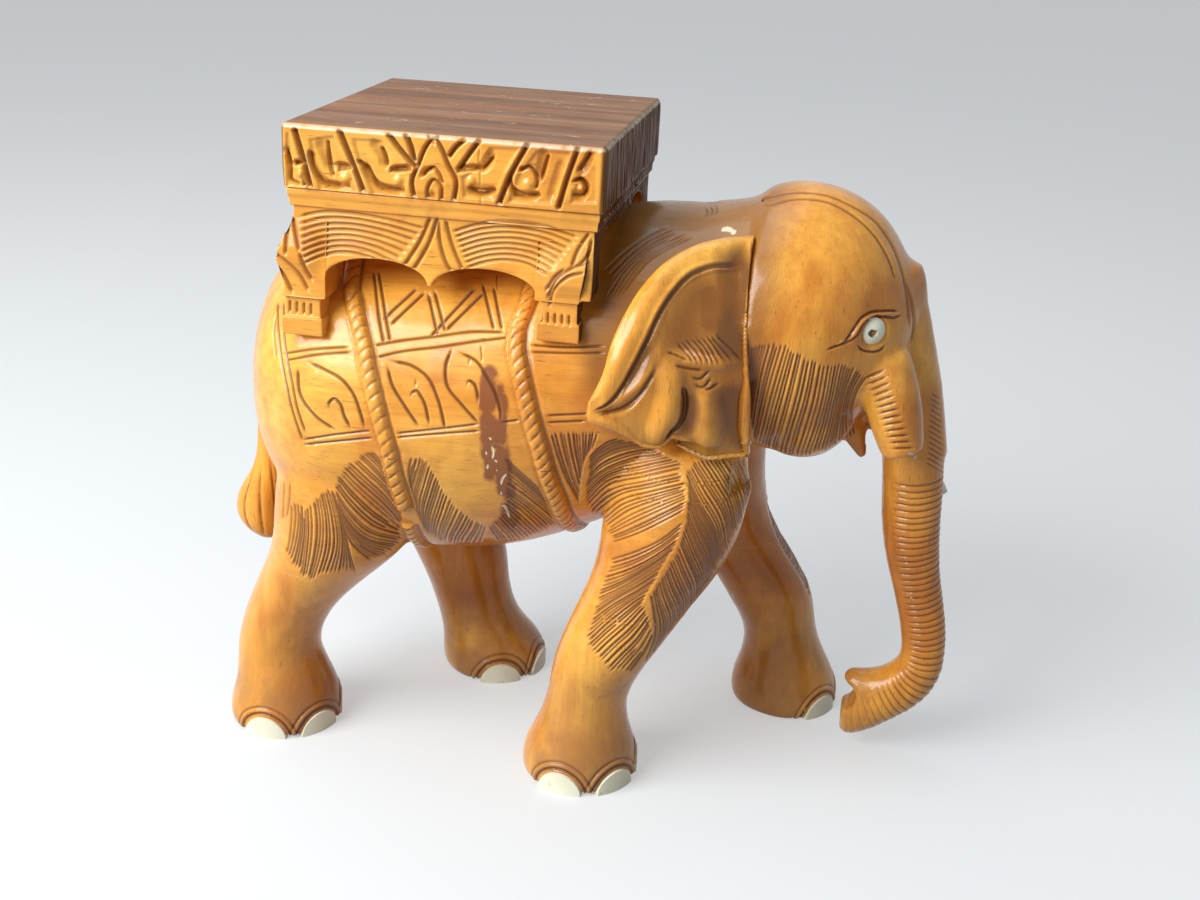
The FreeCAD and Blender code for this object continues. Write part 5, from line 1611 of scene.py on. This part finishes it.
# Seat ends: dark gouged wood, made darker still as painted shade.
END_DARK = (0.065, 0.026, 0.009)
END_LIGHT = (0.20, 0.078, 0.02)
EYE_CREAM = (0.98, 1.0, 0.78)
EYE_CREAM_DARK = (0.88, 0.88, 0.64)
PUPIL = (0.035, 0.03, 0.022)
CREAM = (0.98, 0.95, 0.74)
CREAM_DARK = (0.90, 0.85, 0.62)
CREAM_SPOT = (0.34, 0.24, 0.13)
DOWEL_DARK = (0.55, 0.40, 0.23)
DOWEL_LIGHT = (0.68, 0.53, 0.33)
EVEN = (1, 1, 1)
# Noises of the varnished wood: scale, detail, along the fibres, distortion, roughness.
WOOD_NOISES = {
    "broad": (9, 4, False, 0.8, 0.5), "mottle": (24, 5, False, 0.5, 0.6), "streak": (130, 5, True, 0.3, 0.6),
    "fine": (420, 3, True, 0.0, 0.6), "pores": (900, 2, True, 0.0, 0.5)}
# Layers of colour: noise, where it starts and ends, the layer's share at both, colour.
WOOD_LAYERS = (
    ("broad", 0.35, 0.68, 0.0, 1.0, HONEY_LIGHT), ("broad", 0.28, 0.48, 0.85, 0.0, HONEY_DARK),
    ("mottle", 0.5, 0.72, 0.0, 0.5, HONEY_DARK), ("streak", 0.38, 0.72, 0.0, 0.42, HONEY_DARK),
    ("fine", 0.55, 0.75, 0.0, 0.35, HONEY_DARK), ("pores", 0.66, 0.72, 0.0, 0.5, PORE))
TOP_NOISES = {
    "band": (60, 5, True, 0.6, 0.65), "thread": (330, 4, True, 0.2, 0.7), "red": (24, 4, True, 0.0, 0.5)}
TOP_LAYERS = (
    ("band", 0.38, 0.66, 0.0, 1.0, SEAT_TOP_LIGHT), ("red", 0.52, 0.68, 0.0, 0.75, SEAT_TOP_RED),
    ("thread", 0.5, 0.7, 0.0, 0.6, SEAT_TOP))
END_NOISES = {"streak": (95, 5, True, 0.7, 0.65), "fine": (300, 3, True, 0.0, 0.5)}
END_LAYERS = (("streak", 0.4, 0.65, 0.0, 1.0, END_LIGHT), ("fine", 0.5, 0.7, 0.0, 0.6, END_DARK))
# Blotches that break a share up: scale, where they start and end.
FOOT_BLOTCHES = (22, 0.35, 0.6)
STAIN_BLOTCHES = (70, 0.3, 0.55)
WORN_BLOTCHES = (60, 0.35, 0.6)
EDGE_BLOTCHES = (110, 0.3, 0.5)
# Where a value starts and ends, and the share at both.
FOOT_SPAN = (0.02, 0.105, 0.8, 0.0)
STAIN_SPAN = (0.1, 0.45, 0.0, 0.92)
PATINA_AND_SHADE_SPAN = (0.0, 0.75, 0.0, 0.92)
HOLLOW_SPAN = (0.15, 0.95, 0.0, 0.85)
WORN_SPAN = (0.53, 0.60)
TUCKED_SPAN = (0.0, 0.3, 0.7, 0.0)
CREASE_SHADE_SPAN = (0.485, 0.42, 0.0, 0.5)
FILLER_SPAN = (0.25, 0.55)
ROUGH_NOISE = (35, 4)
ROUGH_SPAN = (0.3, 0.7, 0.22, 0.38)
HOLLOW_ROUGH_SPAN = (0.2, 1.0, 0.0, 0.25)
SCRATCH_NOISE = (75, 6, (0.55, 1.0, 1.0), 1.8, 0.75)
SCRATCH_SPAN = (0.625, 0.66, 0.0, 0.75)
EDGE_SHARE = 0.9
DULL_ROUGHNESS = 0.2
# Bumps: strength, distance in metres.
FINE_BUMP = (0.35, 0.0004)
PORE_BUMP = (0.5, 0.0003)
# Varnish: weight and roughness of the coat, specular level of the wood, coat of the worn seat.
COAT = 0.5
COAT_ROUGHNESS = 0.16
WOOD_SPECULAR = 0.2
DULL_COAT = 0.05
PUPIL_RADIUS = (0.0034, 0.0028)
PUPIL_AHEAD = 0.002


def honey_wood(name, grain):
    """Nodes of varnished wood. The grain's vector is small along the fibres."""
    tree = Tree(name)
    noises = tree.noises(WOOD_NOISES, grain)
    base = tree.layered(HONEY, noises, WOOD_LAYERS)
    parts = tree.nodes.new("ShaderNodeSeparateXYZ")
    tree.links.new(tree.place, parts.inputs[0])
    feet = tree.patchy(tree.span(parts.outputs["Z"], *FOOT_SPAN), *FOOT_BLOTCHES)
    base = tree.mix(feet, base, FOOT_GRIME)
    stain_and_shade = tree.patchy(tree.value("stain_and_shade"), *STAIN_BLOTCHES)
    base = tree.mix(tree.span(stain_and_shade, *STAIN_SPAN), base, REDDISH)
    # Painted shade on the ears and the neck, with the neck's dark varnish.
    base = tree.mix(tree.span(tree.value("patina_and_shade"), *PATINA_AND_SHADE_SPAN), base, PATINA_AND_SHADE)
    hollow = tree.value("hollow")
    # Darker in the cuts: stain gathered there, and painted shade.
    base = tree.mix(tree.span(hollow, *HOLLOW_SPAN), base, HOLLOW_STAIN_AND_SHADE)
    edge = tree.nodes.new("ShaderNodeNewGeometry").outputs["Pointiness"]
    worn = tree.patchy(tree.span(edge, *WORN_SPAN), *WORN_BLOTCHES)
    worn = tree.math("MULTIPLY", worn, tree.span(tree.value("tucked"), *TUCKED_SPAN))
    base = tree.mix(worn, base, WORN)
    # Painted shade in concave creases, read from the surface's curvature.
    base = tree.mix(tree.span(edge, *CREASE_SHADE_SPAN), base, HOLLOW_STAIN_AND_SHADE)
    base = tree.mix(tree.span(tree.value("filler"), *FILLER_SPAN), base, FILLER)
    rough = tree.span(tree.noise(*ROUGH_NOISE), *ROUGH_SPAN)
    rough = tree.math("ADD", rough, tree.span(hollow, *HOLLOW_ROUGH_SPAN))
    normal = tree.bump(noises["pores"], *PORE_BUMP, tree.bump(noises["fine"], *FINE_BUMP))
    tree.finish(base, rough, normal, COAT, COAT_ROUGHNESS, WOOD_SPECULAR)
    return tree


def seat_wood(name, grain, end_grain):
    """Honey wood on the carved sides, dark worn wood on top, dark gouged wood with painted shade on the ends.
    """
    tree = honey_wood(name, grain)
    side = tree.shader.inputs["Base Color"].links[0].from_socket
    side_rough = tree.shader.inputs["Roughness"].links[0].from_socket
    above = tree.layered(SEAT_TOP, tree.noises(TOP_NOISES, grain), TOP_LAYERS)
    above = tree.mix(tree.span(tree.noise(*SCRATCH_NOISE), *SCRATCH_SPAN), above, SCRATCH)
    end = tree.layered(END_DARK, tree.noises(END_NOISES, end_grain), END_LAYERS)
    colour = tree.mix(tree.value("end"), side, end)
    colour = tree.mix(tree.value("top"), colour, above)
    worn = tree.patchy(tree.value("edge"), *EDGE_BLOTCHES)
    colour = tree.mix(tree.math("MULTIPLY", worn, EDGE_SHARE), colour, SCRATCH)
    dull = tree.math("MAXIMUM", tree.value("top"), tree.value("end"))
    rough = tree.math("ADD", side_rough, tree.math("MULTIPLY", dull, DULL_ROUGHNESS))
    tree.put(tree.shader.inputs["Base Color"], colour)
    tree.put(tree.shader.inputs["Roughness"], rough)
    tree.put(tree.shader.inputs["Coat Weight"], tree.span(dull, 0.0, 1.0, COAT, DULL_COAT))
    return tree


def eye_inlay(centre):
    """Cream inlay with a dark speck for the pupil."""
    tree = Tree("eye_inlay")
    cloud = tree.noise(90, 3)
    base = tree.mix(tree.span(cloud, 0.35, 0.7), EYE_CREAM, EYE_CREAM_DARK)
    offset = tree.nodes.new("ShaderNodeVectorMath")
    offset.operation = "DISTANCE"
    tree.links.new(tree.place, offset.inputs[0])
    offset.inputs[1].default_value = centre
    away = tree.math("ADD", offset.outputs["Value"], tree.span(tree.noise(900, 3), 0.2, 0.8, -0.0006, 0.0006))
    base = tree.mix(tree.span(away, *PUPIL_RADIUS), base, PUPIL)
    return tree.finish(base, 0.3, tree.bump(cloud, 0.2, 0.0003), 0.3, 0.15)


def cream_inlay():
    tree = Tree("cream_inlay")
    spots = tree.noise(160, 4)
    base = tree.mix(tree.span(tree.noise(28, 3), 0.35, 0.7), CREAM, CREAM_DARK)
    base = tree.mix(tree.span(spots, 0.64, 0.74, 0.0, 0.5), base, CREAM_SPOT)
    rough = tree.span(spots, 0.3, 0.7, 0.32, 0.5)
    return tree.finish(base, rough, tree.bump(spots, 0.3, 0.0004), 0.1, 0.25)


def pale_wood():
    tree = Tree("dowel_wood")
    streak = tree.noise(160, 4, (1, 1, 0.08))
    base = tree.mix(tree.span(streak, 0.3, 0.7), DOWEL_DARK, DOWEL_LIGHT)
    return tree.finish(base, 0.6, tree.bump(streak, 0.4, 0.0003))


def seen_rays(nodes, links):
    """One for rays of the camera, mirrors and glass, zero for those that light other things."""
    path = nodes.new("ShaderNodeLightPath")
    share = path.outputs["Is Camera Ray"]
    for name in ("Is Glossy Ray", "Is Transmission Ray"):
        larger = nodes.new("ShaderNodeMath")
        larger.operation = "MAXIMUM"
        links.new(share, larger.inputs[0])
        links.new(path.outputs[name], larger.inputs[1])
        share = larger.outputs[0]
    return share


FLOOR_REACH = 30.0
FLOOR_PLAIN = (0.27, 0.25, 0.23, 1)
FLOOR_SHOWN = (0.42, 0.42, 0.41, 1)
FLOOR_GLOW = 0.42
FLOOR_ROUGHNESS = 0.9
WORLD_PLAIN = (0.78, 0.88, 1.0, 1)
WORLD_STRENGTH = 0.33
WORLD_SHOWN = (0.66, 0.66, 0.66, 1)
# Soft lights: name, place, the point they face, width, height, power, colour.
LIGHTS = (
    ("key", (-1.35, -1.35, 1.45), (0, 0, 0.22), 1.8, 1.3, 80, (0.93, 0.97, 1.0)),
    ("top", (-0.5, 0.1, 1.9), (0, 0, 0.3), 1.6, 1.2, 12, (0.72, 0.86, 1.0)),
    ("fill", (1.8, -0.9, 0.9), (0, 0, 0.2), 1.2, 1.2, 1.2, (1.0, 0.93, 0.84)))


def shown_by_rays(tree, plain, shown, surface):
    """The plain shader lights the object, the other one is what is seen."""
    mix = tree.nodes.new("ShaderNodeMixShader")
    tree.links.new(seen_rays(tree.nodes, tree.links), mix.inputs[0])
    tree.links.new(plain.outputs[0], mix.inputs[1])
    tree.links.new(shown.outputs[0], mix.inputs[2])
    tree.links.new(mix.outputs[0], surface)


def make_floor():
    corners = [(-1, -1), (1, -1), (1, 1), (-1, 1)]
    mesh = bpy.data.meshes.new("floor")
    mesh.from_pydata([(x * FLOOR_REACH, y * FLOOR_REACH, 0) for x, y in corners], [], [(0, 1, 2, 3)])
    floor = link("floor", mesh)
    material = bpy.data.materials.new("floor")
    material.use_nodes = True
    tree = material.node_tree
    plain = tree.nodes["Principled BSDF"]
    shown = tree.nodes.new("ShaderNodeBsdfPrincipled")
    for shader, colour in ((plain, FLOOR_PLAIN), (shown, FLOOR_SHOWN)):
        shader.inputs["Base Color"].default_value = colour
        shader.inputs["Roughness"].default_value = FLOOR_ROUGHNESS
        shader.inputs["Specular IOR Level"].default_value = 0.0
    shown.inputs["Emission Color"].default_value = (1.0, 1.0, 1.0, 1)
    shown.inputs["Emission Strength"].default_value = FLOOR_GLOW
    shown_by_rays(tree, plain, shown, tree.nodes["Material Output"].inputs["Surface"])
    mesh.materials.append(material)
    floor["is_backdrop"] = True


def make_world():
    world = bpy.data.worlds.new("world")
    bpy.context.scene.world = world
    world.use_nodes = True
    tree = world.node_tree
    plain = tree.nodes["Background"]
    plain.inputs["Color"].default_value = WORLD_PLAIN
    plain.inputs["Strength"].default_value = WORLD_STRENGTH
    shown = tree.nodes.new("ShaderNodeBackground")
    shown.inputs["Color"].default_value = WORLD_SHOWN
    shown_by_rays(tree, plain, shown, tree.nodes["World Output"].inputs["Surface"])


def make_lights():
    for name, place, target, width, height, power, colour in LIGHTS:
        data = bpy.data.lights.new(name, "AREA")
        data.shape = "RECTANGLE"
        data.size, data.size_y = width, height
        data.energy = power
        data.color = colour
        lamp = bpy.data.objects.new(name, data)
        bpy.context.scene.collection.objects.link(lamp)
        lamp.location = place
        lamp.rotation_mode = "QUATERNION"
        lamp.rotation_quaternion = (Vector(target) - Vector(place)).to_track_quat("-Z", "Y")


FLAT_FACE_CORNERS = 6


def settle(thing, slot, material, *nodes):
    """Rides the piece on the only body, in place of CAD nodes."""
    corners = np.zeros(len(thing.data.polygons), dtype=int)
    thing.data.polygons.foreach_get("loop_total", corners)
    thing.data.polygons.foreach_set("use_smooth", corners < FLAT_FACE_CORNERS)
    thing.data.materials.clear()
    thing.data.materials.append(material)
    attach(thing, "root")
    if nodes:
        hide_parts(*nodes)


UPRIGHT_GRAIN = (1.0, 1.0, 0.07)
LENGTHWISE_GRAIN = (0.07, 1.0, 1.0)
UPRIGHT_BLOCKS = ("leg", "trunk", "head")
make_camera()
make_floor()
make_world()
make_lights()
upright = honey_wood("varnished_wood_upright", UPRIGHT_GRAIN).material
lengthwise = honey_wood("varnished_wood_lengthwise", LENGTHWISE_GRAIN).material
seat = seat_wood("seat_wood", LENGTHWISE_GRAIN, UPRIGHT_GRAIN).material
arcade = seat_wood("frame_wood", LENGTHWISE_GRAIN, UPRIGHT_GRAIN).material
inlay = cream_inlay()
dowel = pale_wood()
settle(make_slab(), "dark_wood", seat, "seat_slab")
settle(make_frame(), "varnished_wood", arcade, "seat_frame")
blocks = make_body()
edge_of_head = head_edge(blocks["head"])
for node, piece in blocks.items():
    settle(piece, "varnished_wood", upright if node.startswith(UPRIGHT_BLOCKS) else lengthwise, node)
ear_relief = ear_sheet()
for side in ("right", "left"):
    settle(make_ear(side, ear_relief, edge_of_head), "varnished_wood", upright, f"ear_{side}")
settle(make_tail(), "varnished_wood", upright, "tail")
for name, thing in NODES.items():
    finish = dowel
    if name in NAIL_NODES + ("tusk_left",):
        finish = inlay
    elif name in EYE_NODES:
        low, high = box_of(name)
        middle = (low + high) / 2
        outer_y = low[1] if name == "eye_right" else high[1]
        finish = eye_inlay((middle[0] + PUPIL_AHEAD, outer_y, middle[2]))
    for slot in thing.material_slots:
        slot.material = finish

bpy.context.scene.view_settings.view_transform = "Standard"
low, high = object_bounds()
